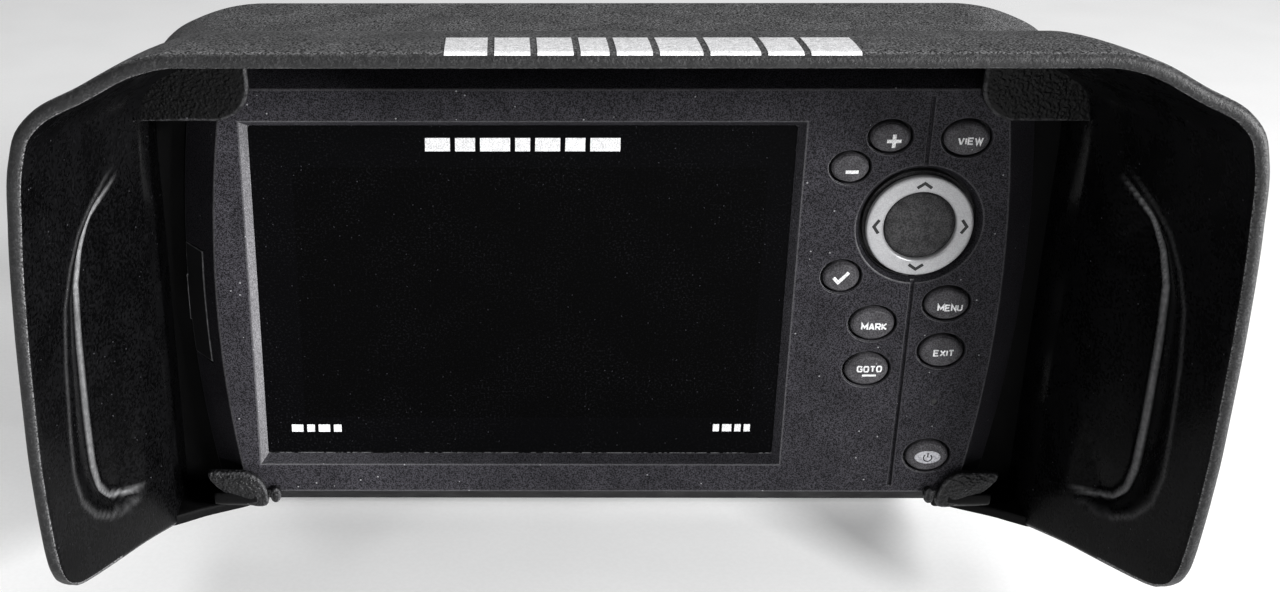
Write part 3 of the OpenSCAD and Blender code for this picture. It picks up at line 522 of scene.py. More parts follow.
def smooth_line(points, t, start=None):
    """Points at t (in steps of the outline's corners) along a smooth line through its corners."""
    p = np.array(points, float)
    step = np.linalg.norm(np.diff(p, axis=0), axis=1)
    slope = np.diff(p, axis=0) / step[:, None]
    between = (step[1:, None] * slope[:-1] + step[:-1, None] * slope[1:]) / (step[1:] + step[:-1])[:, None]
    between[slope[1:] * slope[:-1] <= 0] = 0
    tangent = np.vstack([slope[0] if start is None else start, between, slope[-1]])
    i = np.minimum(t.astype(int), len(step) - 1)
    f, h = (t - i)[:, None], step[i][:, None]
    return ((2 * f**3 - 3 * f**2 + 1) * p[i] + (f**3 - 2 * f**2 + f) * h * tangent[i]
            + (3 * f**2 - 2 * f**3) * p[i + 1] + (f**3 - f**2) * h * tangent[i + 1])


def visor_lines(t):
    """The rim, the crease and the back of the visor's outside at t, which is negative on the left."""
    rim, crease, back = (smooth_line(line, np.abs(t), (1, 0)) for line in (RIM, CREASE, BACK))
    for line in (rim, crease, back):
        line[:, 0] *= np.where(t < 0, -1, 1)
    drop = np.minimum(0, rim[:, 1] - TIP_Z)
    rim_y = RIM_Y + RIM_LEAN * rim[:, 1] + TIP_R - np.sqrt(TIP_R**2 - drop**2)
    crease_y = CREASE_Y + CREASE_LEAN * crease[:, 1]
    back_y = BACK_Y + BACK_STEP * np.clip((back[:, 1] - 15) / 37, 0, 1)
    return [np.stack([line[:, 0], y, line[:, 1]], axis=1)
            for line, y in ((rim, rim_y), (crease, crease_y), (back, back_y))]


def visor_points(t, v):
    """The visor's outer surface in local millimetres: v is 0 at the rim, 1 at the crease and 2 at the back."""
    rim, crease, back = visor_lines(t)
    foot = smooth_line(WING_FOOT, np.interp(np.minimum(v, 1), FOOT_STEPS, np.arange(len(FOOT_STEPS))))
    pull = (np.maximum(0, np.abs(t) / (len(RIM) - 1) - 0.7) / 0.3) ** 1.6
    brow = np.clip((BROW_END - np.abs(rim[:, 0])) / BROW_FADE, 0, 1)
    rows = []
    for value, aim in zip(v, foot):
        if value > 1:
            rows.append(crease + (back - crease) * (value - 1))
            continue
        shift = aim - (rim[-1] + (crease[-1] - rim[-1]) * value)[1:]
        move = np.stack([-0.22 * np.sign(t) * shift[0], *(np.full(t.shape, c) for c in shift)], axis=1)
        row = rim + (crease - rim) * value + pull[:, None] * move
        row[:, 2] += BROW_RISE * value * (1 - value) ** 1.2 * brow
        rows.append(row)
    return np.array(rows).transpose(1, 0, 2)


def distance_to(line, y, z):
    """How far points are from a line in Y and Z, how far along it the nearest point is, and its length."""
    line = np.array(line, float)
    best, along, run = np.full(y.shape, 1e9), np.zeros(y.shape), 0.0
    for a, b in zip(line, line[1:]):
        d = b - a
        length = np.linalg.norm(d)
        f = np.clip(((y - a[0]) * d[0] + (z - a[1]) * d[1]) / length**2, 0, 1)
        gap = np.hypot(y - a[0] - f * d[0], z - a[1] - f * d[1])
        nearer = gap < best
        best, along = np.where(nearer, gap, best), np.where(nearer, run + f * length, along)
        run += length
    return best, along, run


def inside(outline, y, z):
    """True for points inside an outline in Y and Z."""
    result = np.zeros(y.shape, bool)
    for (ay, az), (by, bz) in zip(outline, outline[1:] + outline[:1]):
        result ^= ((az > z) != (bz > z)) & (y < (by - ay) * (z - az) / (bz - az + 1e-12) + ay)
    return result


def smooth(x):
    """0 below 0, 1 above 1 and an even curve between them."""
    x = np.clip(x, 0, 1)
    return x * x * (3 - 2 * x)


def grip_height(x, y, z):
    """How far the wings' pressed-in grips stand out from the sheet, in millimetres, with the bead at the foot."""
    close = [(14, -44), (14, 44)]
    foot_gap, along, length = distance_to(GRIP_FOOT, y, z)
    edge_gap, _, _ = distance_to(GRIP_EDGE, y, z)
    in_foot = inside(GRIP_FOOT + close, y, z)
    in_edge = inside(GRIP_EDGE + close, y, z)
    wall = np.where(in_foot, 1, np.where(in_edge, smooth(edge_gap / (edge_gap + foot_gap + 1e-9)), 0))
    floor = np.where(in_foot, 1 - smooth(foot_gap / 24), 1)
    taper = smooth(along / 16) * smooth((length - along) / 9)
    bead = BEAD_RISE * np.exp(-(foot_gap / BEAD_HALF) ** 2)
    return np.where(np.abs(x) > WING_X, (GRIP_DEPTH * wall * floor - bead) * taper, 0)


def grip_painted_highlight(x, y, z):
    """Painted highlight along the foot and the outer edge of the grips' walls, from 0 to 1."""
    foot_gap, along, length = distance_to(GRIP_FOOT, y, z)
    edge_gap, _, _ = distance_to(GRIP_EDGE, y, z)
    taper = smooth(along / 10) * smooth((length - along) / 6)
    strength = 0.7 + 0.3 * smooth((z - 12) / 8) + 0.3 * smooth((-34 - z) / 4)
    line = strength * np.exp(-(foot_gap / 0.55) ** 2) + 0.16 * np.exp(-(edge_gap / 0.5) ** 2)
    return np.where(np.abs(x) > WING_X, line * taper, 0)


def surface_normals(p):
    """Unit normals of a grid of points."""
    n = np.cross(*np.gradient(p, axis=(0, 1)))
    return n / np.linalg.norm(n, axis=2)[:, :, None]


def smooth_tips(n):
    """Gives the wings' tips, where the grid's edges run together, the normals of the sheet beside them."""
    columns, rows = 13, 9
    for block, source in ((slice(0, columns), columns), (slice(-columns, None), -columns - 1)):
        n[block, :rows] = n[source, rows]


def run_lengths(p, axis):
    """Each point's distance along a grid direction from its first line."""
    gaps = np.linalg.norm(np.diff(p, axis=axis), axis=2)
    total = np.cumsum(gaps, axis=axis)
    return np.pad(total, [(1 - axis, 0), (axis, 0)])


def run_steps(corners, spacings):
    """Places from the first corner to the last, with its own spacing in each stretch."""
    places = []
    for (a, b), spacing in zip(zip(corners, corners[1:]), spacings):
        places += list(np.linspace(a, b, max(2, int(round((b - a) / spacing))) + 1)[:-1])
    return np.array(places + [corners[-1]])


# The inside's finish begins where inset is below this
INSIDE_FROM = 0.36
# How far along the rim its corners are
RIM_RUN = np.concatenate([[0], np.cumsum(np.linalg.norm(np.diff(np.array(RIM, float), axis=0), axis=1))])


def rim_t(places):
    """t at places given in millimetres along the rim from its middle, which are negative on the left."""
    return np.sign(places) * np.interp(np.abs(places), RIM_RUN, np.arange(len(RIM)))


def visor_grid(radius):
    """The sheet's grid lines in t and v, close together at its rounded edges, the grips and the crease."""
    close = radius * np.array([0, 0.06, 0.2, 0.42, 0.7, 1.0])
    end = RIM_RUN[-1]
    half = np.concatenate([run_steps([0, 84, 125, end - radius], [3.0, 1.6, 0.8])[:-1], end - close[::-1]])
    t = rim_t(np.concatenate([-half[:0:-1], half]))
    front = np.concatenate([close, run_steps([radius, 8, 40, 60], [1.2, 0.62, 1.4])[1:]]) / HOOD_RUN
    back = 2 - (np.concatenate([close, run_steps([radius, 26], [2.0])[1:]]) / SLEEVE_RUN)[::-1]
    return t, np.concatenate([front[front < 0.965], [0.975, 0.99, 1.01, 1.03, 1.06], back[back > 1.08]])


def visor_sheet():
    """The moulded sheet with its rounded edges, as one closed mesh: inside faces take the second material."""
    radius = VISOR_T / 2
    t, v = visor_grid(radius)
    p = visor_points(t, v)
    n = surface_normals(p)
    if n[len(t) // 2, 5, 2] < 0:
        n = -n
    smooth_tips(n)
    middle = p - n * radius
    middle += n * grip_height(*middle.transpose(2, 0, 1))[:, :, None]
    n2 = surface_normals(middle)
    n2 *= np.sign((n * n2).sum(axis=2))[:, :, None]
    smooth_tips(n2)

    # inset is 1 at the sheet's edges and 0 a radius inside them, where the sheet is at its full thickness
    from_start, from_rim = run_lengths(middle, 0), run_lengths(middle, 1)
    edge = np.minimum.reduce([from_start, from_start[-1:] - from_start, from_rim, from_rim[:, -1:] - from_rim])
    inset = 1 - np.clip(edge, 0, radius) / radius
    thick = radius * np.sqrt(np.maximum(0, 1 - inset**2))

    outer, inner = middle + n2 * thick[:, :, None], middle - n2 * thick[:, :, None]
    # The edge colour is painted shade on the outside's rounded rim and on the wings' outside, where the sheet faces
    # sideways, and a painted highlight along the grips' feet and outer edges inside
    rounded = smooth((inset - 0.3) / 0.4)
    flank_shade = 0.8 * smooth((np.abs(n2[:, :, 0]) - 0.35) / 0.45)
    grip_highlight = grip_painted_highlight(*p.transpose(2, 0, 1))
    nu, nv = len(t), len(v)
    bm = bmesh.new()
    wear_and_painted_light = bm.verts.layers.float.new("wear_and_painted_light")
    top = [[bm.verts.new(c) for c in row] for row in place(outer)]
    below = place(inner)
    low = [[top[i][j] if i in (0, nu - 1) or j in (0, nv - 1) else bm.verts.new(below[i, j])
            for j in range(nv)] for i in range(nu)]
    for i in range(nu):
        for j in range(nv):
            top[i][j][wear_and_painted_light] = max(rounded[i, j], flank_shade[i, j])
            low[i][j][wear_and_painted_light] = max(rounded[i, j], grip_highlight[i, j])
    for i in range(nu - 1):
        for j in range(nv - 1):
            bm.faces.new((top[i][j], top[i + 1][j], top[i + 1][j + 1], top[i][j + 1]))
            face = bm.faces.new((low[i][j], low[i][j + 1], low[i + 1][j + 1], low[i + 1][j]))
            face.material_index = int(inset[i:i + 2, j:j + 2].max() < INSIDE_FROM)
    mesh = mesh_of(bm, "visor_sheet")
    mesh.shade_smooth()
    add_piece("visor_sheet", mesh, "visor", "visor_plastic", ["visor_plastic", "visor_inside"], ["visor_shell"])


OUTLINE_STEP = 0.8
LUG_WEAR = 0.7


def softened(line, rounds):
    """A closed outline with even points, its corners softened by averaging neighbours."""
    line = np.array(line, float)
    dense = []
    for a, b in zip(line, np.roll(line, -1, axis=0)):
        steps = max(2, int(np.linalg.norm(b - a) / OUTLINE_STEP))
        dense += [a + (b - a) * f for f in np.arange(steps) / steps]
    dense = np.array(dense)
    for _ in range(rounds):
        dense = dense * 0.5 + (np.roll(dense, 1, axis=0) + np.roll(dense, -1, axis=0)) * 0.25
    return dense


def moulded(name, outline, axis, low, high, edge, material, swell=0.0, soft=2):
    """A rounded lug: an outline drawn from low, where it swells out, to high along an axis (0 X, 1 Y, 2 Z)."""
    dense = softened(outline, soft)
    centre = dense.mean(axis=0)
    size = np.linalg.norm(dense - centre, axis=1)[:, None]
    turn = np.linspace(0, math.pi / 2, 5)
    profile = [(edge * (1 - math.sin(a)), high - edge * (1 - math.cos(a)), 1.0) for a in turn]
    profile += [(edge * (1 - math.cos(a)), low + edge * (1 - math.sin(a)), 1.0) for a in turn]
    profile += [(edge, low - swell * (1 - f * f), f) for f in (0.85, 0.65, 0.45, 0.2)]
    rings = []
    for inset, depth, f in profile:
        flat = centre + (dense - centre) * (1 - inset / size) * f
        rings.append(place(np.insert(flat, axis, depth, axis=1)))
    mesh = ring_mesh(name, rings)
    wear_and_painted_light = mesh.attributes.new("wear_and_painted_light", "FLOAT", "POINT")
    count = len(dense)
    for i in range((len(turn) + 1) * count, (2 * len(turn) - 1) * count):
        wear_and_painted_light.data[i].value = LUG_WEAR
    mesh.shade_smooth()
    add_piece(name, mesh, "visor", "visor_plastic", [material], ["visor_shell"])


# Outlines of the right tab, claw and nub in X and Z, of the claw's web in Y and Z, and of the floor in X and Y
TOP_TAB = [(80.5, 63.5), (80, 52.6), (81, 49.4), (83, 47), (86.5, 45.4), (107.0, 45.4), (107.2, 47), (105.6, 53),
           (102, 57.2), (96, 60.4), (88, 62.4)]
CLAW = [(96.3, -44.9), (91, -44.9), (86.6, -45), (83.6, -46.8), (82, -50), (81.6, -53), (82.2, -54.6),
        (85, -54.7), (87.5, -53.8), (91, -52), (94, -49.4), (96.2, -46.6)]
CLAW_NUB = [(78.5, -51.4), (78.9, -49.9), (80.2, -49.3), (81.2, -50.3), (81.3, -52), (80.9, -53.3),
            (79.9, -53.7), (78.9, -53)]
CLAW_WEB = [(-3.4, -50), (-0.6, -52), (5.4, -58.4), (13, -58.4), (13, -61.4), (8, -61.1), (-3.4, -53.4)]
CORNER_FLOOR = [(106.8, -1.8), (104.4, -0.4), (99, 2.8), (93.5, 5.3), (88.5, 7.8), (84, 11.5), (84, 17.8),
                (106.8, 17.8)]


# The bezel's outline: half sizes, corner radius, and the bow of the face's sides with the border round it
BEZEL_HALF_W, BEZEL_HALF_H, BEZEL_CORNER = 99.5, 57.5, 12
FACE_HALF_W, BORDER = 91.3, 8.2
BOW_SPAN, BOW_DEPTH = 44, 3.2
LIP_CLEAR = 0.7
# Heights, and the half width of the sleeve's inside at each
SLEEVE_WALL = [(-60, 106.5), (40, 106.3), (46, 105.6), (50, 104.4), (53, 102.5), (55.5, 99.8), (57.3, 95.5)]


def edge_of_bezel(z):
    """Half width of the bezel's outline at a height, with a clearance round it."""
    bow_r = (BOW_SPAN**2 + BOW_DEPTH**2) / (2 * BOW_DEPTH)
    bowed = FACE_HALF_W - bow_r + math.sqrt((bow_r + BORDER + LIP_CLEAR) ** 2 - z * z)
    corner = min(BEZEL_CORNER, max(0, abs(z) - (BEZEL_HALF_H + LIP_CLEAR - BEZEL_CORNER)))
    return min(bowed, BEZEL_HALF_W + LIP_CLEAR - BEZEL_CORNER + math.sqrt(BEZEL_CORNER**2 - corner**2))


def visor_lips():
    """The back of the sleeve turns in to close the gap beside the bezel."""
    for side, sign in SIDES:
        rings = []
        for z in np.linspace(SLEEVE_WALL[0][0], SLEEVE_WALL[-1][0], 60):
            inner, outer = edge_of_bezel(z), float(np.interp(z, *zip(*SLEEVE_WALL)))
            section = ((inner + 0.5, 15.5), (outer, 15.5), (outer, 18), (inner + 0.5, 18), (inner + 0.1, 17.6),
                       (inner, 16.8), (inner + 0.1, 15.9))
            rings.append(place([(sign * x, y, z) for x, y in section]))
        name = "visor_lip_" + side
        finish_shading(add_piece(name, ring_mesh(name, rings), "visor", "visor_plastic", ["visor_shade"],
                                 ["visor_shell"]))


def visor_hooks():
    """The tabs and claws that hold the visor on the face, and the floor under the unit's lower corners."""
    for side, sign in SIDES:
        flip = lambda outline: [(sign * x, y) for x, y in outline]
        moulded("visor_tab_" + side, flip(TOP_TAB), 1, -3.6, -0.6, 1.0, "visor_pebble")
        moulded("visor_claw_" + side, flip(CLAW), 1, -3.0, -0.6, 0.8, "visor_claw", swell=0.6, soft=1)
        moulded("visor_web_" + side, CLAW_WEB, 0, *sorted((sign * 84, sign * 95)), 0.8, "visor_shade")
        moulded("visor_nub_" + side, flip(CLAW_NUB), 1, -3.0, -0.3, 0.8, "visor_claw", swell=0.3, soft=1)
        moulded("visor_floor_" + side, flip(CORNER_FLOOR), 2, -61.4, -58.6, 0.8, "visor_shade")


# --- Keypad ---

# A key's flange reaches this far past its opening, which leaves this gap round the key
KEY_FLANGE, BUTTON_GAP = 0.5, 0.6
# How far a key's middle stands out of the face, and how much less its edge does
PROUD, DOME = 0.9, 0.55
DOME_RINGS = (0.9, 0.8, 0.68, 0.54, 0.4, 0.26, 0.12)


def key_oval(node):
    """A key's centre in X and Z and its half sizes, without its flange."""
    middle, half = local_middle(node)
    return (middle[0], middle[2]), half[0] - KEY_FLANGE - BUTTON_GAP, half[2] - KEY_FLANGE - BUTTON_GAP


def dome_y(x, z, half_w, half_h):
    """Depth of a key's domed top over a point measured from the key's centre."""
    r2 = np.minimum(1, (x / half_w) ** 2 + (z / half_h) ** 2)
    return -PROUD + DOME * r2 ** 1.4


def button(name):
    """A key with its flange, stem and domed top; gives its centre and half sizes."""
    centre, half_w, half_h = key_oval(name)
    flange = BUTTON_GAP + KEY_FLANGE
    profile = [(-flange, 4.2), (-flange, 3.3), (-flange + 0.1, 3.2), (0, 3.2), (0, 0.3), (0.08, 0.02), (0.3, -0.2)]
    rings = oval_rings(centre, half_w, half_h, profile)
    for f in DOME_RINGS:
        rings += oval_rings(centre, half_w * f, half_h * f, [(0, float(dome_y(half_w * f, 0, half_w, half_h)))])
    piece = add_piece(name + "_cap", ring_mesh(name + "_cap", rings), name, "button_rubber", replaces=[name])
    finish_shading(piece, 60)
    return centre, half_w, half_h


def flat_mark(name, body, polygons, drop, material="print_white", slot="button_rubber", depth=0.06):
    """A thin print at the depth drop gives: its outlines run along one side and back along the other."""
    bm = bmesh.new()
    for polygon in polygons:
        front, rear = ([bm.verts.new(place((x, drop(x, z) + lift, z))) for x, z in polygon]
                       for lift in (-depth, 0.1))
        for skin in (front, rear):
            for i in range(len(polygon) // 2 - 1):
                bm.faces.new((skin[i], skin[i + 1], skin[-i - 2], skin[-i - 1]))
        for i in range(len(polygon)):
            j = (i + 1) % len(polygon)
            bm.faces.new((front[i], rear[i], rear[j], front[j]))
    add_piece(name, mesh_of(bm, name), body, slot, [material])


# Each letter's strokes: their corners in shares of its width and height, with a slash between strokes
LETTERS = {
    "A": "0,0 .45,1 .55,1 1,0 / .2,.3 .8,.3",
    "E": "1,0 0,0 0,1 1,1 / 0,.5 .85,.5",
    "G": "1,.85 .8,1 .2,1 0,.8 0,.2 .2,0 .8,0 1,.2 1,.5 .6,.5",
    "I": "0,0 0,1",
    "K": "0,0 0,1 / .95,1 .1,.5 1,0",
    "M": "0,0 0,1 .5,.3 1,1 1,0",
    "N": "0,0 0,1 1,0 1,1",
    "O": ".5,0 .2,0 0,.2 0,.8 .2,1 .8,1 1,.8 1,.2 .8,0 .49,0",
    "R": "0,0 0,1 .8,1 1,.85 1,.6 .8,.45 .1,.45 / .55,.4 1,0",
    "T": "0,1 1,1 / .5,0 .5,1",
    "U": "0,1 0,.2 .2,0 .8,0 1,.2 1,1",
    "V": "0,1 .45,0 .55,0 1,1",
    "W": "0,1 .25,0 .5,.8 .75,0 1,1",
    "X": "0,0 1,1 / 0,1 1,0",
}
# Widths of letters and of their gap
LETTER_WIDTHS = {c: 0.9 for c in LETTERS} | {"I": 0.0, "M": 1.15, "W": 1.3}
LETTER_GAP = 0.42
# Stroke widths
WORD_BOLD, SIGN_BOLD, POWER_BOLD, ARROW_BOLD = 0.36, 0.8, 0.32, 0.72
STROKE_STEP = 0.5


def word_strokes(word, centre, width, height):
    """The outlines of a key's legend, made of plain strokes."""
    total = sum(LETTER_WIDTHS[c] for c in word) + LETTER_GAP * (len(word) - 1)
    unit = (width - WORD_BOLD) / total
    x, z = centre[0] - width / 2 + WORD_BOLD / 2, centre[1] - height / 2 + WORD_BOLD / 2
    outlines = []
    for c in word:
        w = LETTER_WIDTHS[c] * unit
        for line in LETTERS[c].split("/"):
            corners = [map(float, corner.split(",")) for corner in line.split()]
            outlines.append(stroke([(x + u * w, z + v * (height - WORD_BOLD)) for u, v in corners], WORD_BOLD))
        x += w + LETTER_GAP * unit
    return outlines


def stroke(points, width):
    """The outline of a polyline of even width, with mitred corners."""
    p = [Vector(points[0])]
    for q in (Vector(q) for q in points[1:]):
        pieces = max(1, round((q - p[-1]).length / STROKE_STEP))
        p += [p[-1].lerp(q, k / pieces) for k in range(1, pieces + 1)]
    left, right = [], []
    for i, q in enumerate(p):
        before = (q - p[i - 1]).normalized() if i else (p[1] - q).normalized()
        after = (p[i + 1] - q).normalized() if i < len(p) - 1 else before
        across = (Vector((-before.y, before.x)) + Vector((-after.y, after.x))).normalized()
        reach = width / 2 / max(0.3, across.dot(Vector((-after.y, after.x))))
        left.append(tuple(q + across * reach))
        right.append(tuple(q - across * reach))
    return left + right[::-1]


# A word's row is its letters, centre, width and height, and a sign's is its centre and lines
KEYS = {
    "plus": ((62.6, 39.9), [[(-1.6, 0), (1.6, 0)], [(0, -1.6), (0, -0.4)], [(0, 0.4), (0, 1.6)]]),
    "minus": ((53.9, 32.6), [[(-1.45, 0), (1.45, 0)]]),
    "view": ("VIEW", (79.6, 39.95), 5.7, 1.75),
    "check": ((53.7, 6.6), [[(-1.7, -0.1), (-0.6, -1.3), (1.7, 1.2)]]),
    "mark": ("MARK", (62.55, -6.1), 6.1, 1.85),
    "goto": ("GOTO", (62.5, -17.3), 6.0, 1.7),
    "menu": ("MENU", (79.75, -1.2), 5.9, 1.75),
    "exit": ("EXIT", (79.6, -13.05), 4.9, 1.75),
    "power": (),
}
GOTO_BAR = [(60.9, -19.0), (64.2, -19.0)]


def keypad():
    """The nine keys and their legends. The power key's sign is on its lens."""
    for key, legend in KEYS.items():
        name = "button_" + key
        centre, half_w, half_h = button(name)
        top = lambda x, z: float(dome_y(x - centre[0], z - centre[1], half_w, half_h))
        if len(legend) == 4:
            flat_mark("legend_" + key, name, word_strokes(*legend), top)
        elif legend:
            (cx, cz), lines = legend
            flat_mark("legend_" + key, name,
                      [stroke([(cx + x, cz + z) for x, z in line], SIGN_BOLD) for line in lines], top)
        if key == "goto":
            flat_mark("legend_goto_bar", name, [stroke(GOTO_BAR, 0.5)], top)


def power_lens():
    """The pale lens in the power key, with its sign: an open ring and a bar."""
    middle, half = local_middle("power_lens")
    (x, z), (half_w, half_h) = middle[[0, 2]], half[[0, 2]]
    front, rear = middle[1] - half[1], middle[1] + half[1]
    rings = oval_rings((x, z), half_w, half_h, [(0, rear), (0, front + 0.2), (0.1, front + 0.06), (0.3, front)])
    rings += oval_rings((x, z), half_w * 0.6, half_h * 0.6, [(0, front - 0.06)])
    mesh = ring_mesh("power_lens_dome", rings)
    finish_shading(add_piece("power_lens_dome", mesh, "button_power", "lens_plastic", replaces=["power_lens"]), 60)
    arc = [(x + math.sin(a), z - 0.05 + math.cos(a)) for a in np.linspace(math.radians(40), math.radians(320), 25)]
    lines = (arc, [(x, z + 0.1), (x, z + 1.25)])
    flat_mark("legend_power", "button_power", [stroke(line, POWER_BOLD) for line in lines],
              lambda x, z: front - 0.02, material="print_dark", slot="lens_plastic")


def lathe(name, centre, profile, body, slot, replaces):
    """A round piece turned about an axis along Y: profile lists (radius, depth Y)."""
    rings = [oval_rings(centre, r, r, [(0, y)], ROUND_SIDES)[0] for r, y in profile]
    finish_shading(add_piece(name, ring_mesh(name, rings), body, slot, replaces=replaces), 60)


RING_HOLE_R = 8.25
# The cursor cap's profile, and the arrows' distance from the centre, half width and height
PAD_CAP = [(12.2, 0.9), (12.2, 0.42), (8.0, 0.41), (8.0, 0.25), (7.9, 0.0), (7.65, -0.22), (7.2, -0.38),
           (6.6, -0.45), (6, -0.44), (4.6, -0.34), (3, -0.25), (1, -0.2)]
ARROW_R, ARROW_HALF, ARROW_RISE = 10.0, 1.65, 1.15


def cursor_pad():
    """The silver ring with its four arrows and the dark cap inside it."""
    middle, half = local_middle("pad_ring")
    centre, outer, inner = (middle[0], middle[2]), half[0], RING_HOLE_R
    front, rear = middle[1] - half[1], middle[1] + half[1]
    ring = [(inner, rear), (outer, rear), (outer, front + 0.55), (outer - 0.08, front + 0.3),
            (outer - 0.25, front + 0.12), (outer - 0.55, front + 0.02), (outer - 1.2, front),
            (inner + 0.8, front + 0.02), (inner + 0.35, front + 0.12), (inner + 0.12, front + 0.32),
            (inner, front + 0.6), (inner, rear)]
    lathe("cursor_ring", centre, ring, "pad_plate", "silver_ring", ["pad_ring"])
    lathe("cursor_cap", centre, PAD_CAP, "pad_plate", "pad_plastic", ["pad_cap"])
    low, high = ARROW_R - ARROW_RISE / 2, ARROW_R + ARROW_RISE / 2
    marks = []
    for k in range(4):
        turn = Matrix.Rotation(k * math.pi / 2, 2)
        line = [turn @ Vector(q) for q in ((-ARROW_HALF, low), (0, high), (ARROW_HALF, low))]
        marks.append(stroke([(centre[0] + q.x, centre[1] + q.y) for q in line], ARROW_BOLD))
    flat_mark("cursor_arrows", "pad_plate", marks, lambda x, z: front + 0.01, material="print_dark",
              slot="silver_ring", depth=0.04)


# --- Prints ---

# Rows of blocks: their limits in X and in Z (on the brow in v), and the widths of blocks and gaps
BROW_BARS = (-35.3, 39, 0.008, 0.215, [6, 1, 5, 1, 5, 1, 4, 1, 5, 1, 6, 1, 7, 1, 5, 1, 7])
GLASS_BARS = {
    "top": (-42, 2, 36.3, 39.5, [5, 1, 4, 1, 6, 1, 3, 1, 5, 1, 4, 1, 6]),
    "left": (-75.7, -63.6, -36.4, -34.4, [3, 1, 2, 1, 3, 1, 2]),
    "right": (26.8, 35.8, -36.2, -34.2, [2, 1, 3, 1, 2, 1, 2]),
}
BAR_SLANT = 0.25
# The brow print's upper and lower skin over the sheet, and its bars' rows and columns of faces
BROW_PRINT = (0.14, -0.3)
BAR_ROWS, BAR_COLUMNS = 8, 4


def slanted_bars(x0, x1, z0, z1, shares, slant=0.0):
    """A row of blocks that fill x0..x1, with gaps between them: shares lists block and gap widths."""
    total = sum(shares)
    bars, x = [], x0
    for k, share in enumerate(shares):
        w = (x1 - x0) * share / total
        if k % 2 == 0:
            lean = slant * (z1 - z0)
            bars.append([(x, z0), (x + w, z0), (x + w + lean, z1), (x + lean, z1)])
        x += w
    return bars


def prints():
    """Plain generic marks where the unit and the visor carry their makers' prints."""
    brow_marks(slanted_bars(*BROW_BARS, BAR_SLANT))
    glass = local_box("window_glass")[0][1]
    for name, bars in GLASS_BARS.items():
        flat_mark("glass_print_" + name, "display", slanted_bars(*bars), lambda x, z: glass, slot="cover_glass",
                  depth=0.03)


def brow_marks(bars):
    """Thin marks that follow the visor's brow: each bar is an outline in X and v across the brow."""
    bm = bmesh.new()
    radius = VISOR_T / 2
    for (x0, v0), (x1, _), _, (x3, v1) in bars:
        shares = np.linspace(0, 1, BAR_ROWS + 1)
        skins = []
        for lift in BROW_PRINT:
            rows = []
            for v, f in zip(v0 + (v1 - v0) * shares**2, shares):
                # How far the sheet's rounded rim falls away under this row
                fall = radius - math.sqrt(max(0, radius**2 - max(0, radius - HOOD_RUN * v) ** 2))
                xs = np.linspace(x0 + (x3 - x0) * f, x1 + (x3 - x0) * f, BAR_COLUMNS + 1)
                rows.append(visor_points(rim_t(xs), np.array([v]))[:, 0] + np.array([0, 0, lift - fall]))
            skins.append([[bm.verts.new(c) for c in row] for row in place(np.array(rows))])
        top, low = skins
        for i in range(BAR_ROWS):
            for j in range(BAR_COLUMNS):
                bm.faces.new((top[i][j], top[i][j + 1], top[i + 1][j + 1], top[i + 1][j]))
                bm.faces.new((low[i][j], low[i + 1][j], low[i + 1][j + 1], low[i][j + 1]))
        ring = [(0, j) for j in range(BAR_COLUMNS)] + [(i, BAR_COLUMNS) for i in range(BAR_ROWS)]
        ring += [(BAR_ROWS, j) for j in range(BAR_COLUMNS, 0, -1)] + [(i, 0) for i in range(BAR_ROWS, 0, -1)]
        for (a, b), (c, d) in zip(ring, ring[1:] + ring[:1]):
            bm.faces.new((top[a][b], low[a][b], low[c][d], top[c][d]))
    add_piece("brow_print", mesh_of(bm, "brow_print"), "visor", "visor_plastic", ["print_white"])


# --- CAD nodes ---

MATERIALS = make_materials()
# The keypad's part of the face: its left and right limits in X, and its half height
KEYPAD_X = (50, 86.5)
KEYPAD_HALF = 46
# The depths of the slopes round the window and the pad, and the chin's upper and front limit
SLOPE_Y = (0.1, 2.45)
CHIN_Z, CHIN_Y = -51.9, 0.4
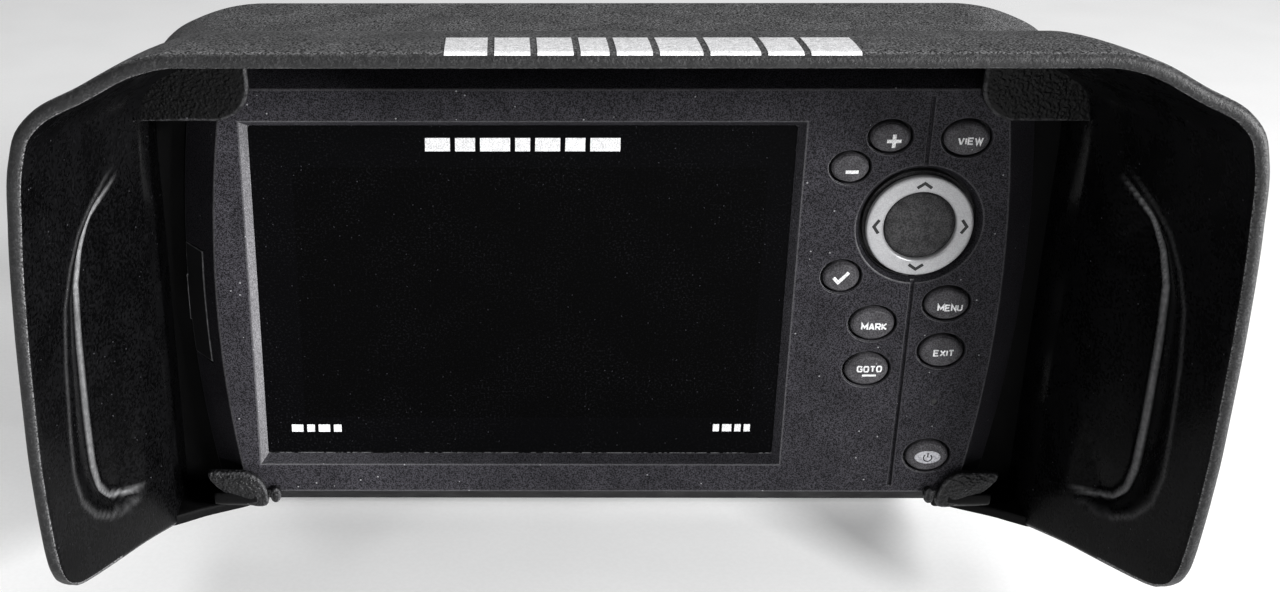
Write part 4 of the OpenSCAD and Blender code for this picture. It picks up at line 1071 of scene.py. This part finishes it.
# Share of the light edge colour on the bezel's other edges: wear and painted highlight
BORDER_WEAR_AND_HIGHLIGHT = 0.16


def dress_nodes():
    """Gives every CAD node the material of its slot."""
    slots = {row["node"]: row["material_slot"] for row in frame["record"]["subparts"]}
    for name, node in frame["nodes"].items():
        node.data.materials.clear()
        node.data.materials.append(MATERIALS["smoked_lens" if name == "status_lens" else slots[name]])


def bezel_wear_and_highlight(point, normal):
    """How much of the light edge colour an edge of the bezel takes: a painted highlight, most round the keys and
    the pad where it faces up and right, and a faint mix of wear and painted highlight elsewhere.
    """
    x, _, z = (point - Vector(ORIGIN)) / MM
    if KEYPAD_X[0] < x < KEYPAD_X[1] and abs(z) < KEYPAD_HALF:
        return min(1.0, max(0.1, 0.85 * (normal.x + normal.z) - 0.12))
    return BORDER_WEAR_AND_HIGHLIGHT


def bezel_face_material(face):
    """0 on the bezel; 1 on slopes round the window and the pad, a darker copy as painted shade; 2 on the one that
    faces right, a light copy as painted light; 3 on the chin, a near-black copy as painted shade.
    """
    x, y, z = (face.center - Vector(ORIGIN)) / MM
    # The chin below the face takes a near-black copy: painted shade
    if z < CHIN_Z and y > CHIN_Y:
        return 3
    on_face = abs(x) < KEYPAD_X[1] and abs(z) < KEYPAD_HALF
    if not (on_face and SLOPE_Y[0] < y < SLOPE_Y[1] and -0.8 < face.normal.y < -0.3):
        return 0
    # The slope that faces right takes the light copy: painted light
    return 2 if x < KEYPAD_X[0] and face.normal.x > 0.35 else 1


dress_nodes()
add_camera()
add_surroundings()
visor_sheet()
visor_lips()
visor_hooks()
keypad()
power_lens()
cursor_pad()
prints()
rounded_copy("front_bezel", 0.4, "display", "bezel_plastic", ("bezel_slope", "bezel_slope_lit", "bezel_chin_shaded"),
             bezel_face_material, bezel_wear_and_highlight)
rounded_copy("rear_housing", 0.7, "display", "housing_plastic")
rounded_copy("gimbal_bracket", 0.9, "bracket", "bracket_plastic")
for knob in ("knob_left", "knob_right"):
    rounded_copy(knob, 0.6, knob, "knob_plastic")
rounded_copy("card_cover", 0.3, "card_cover", "seal_rubber")
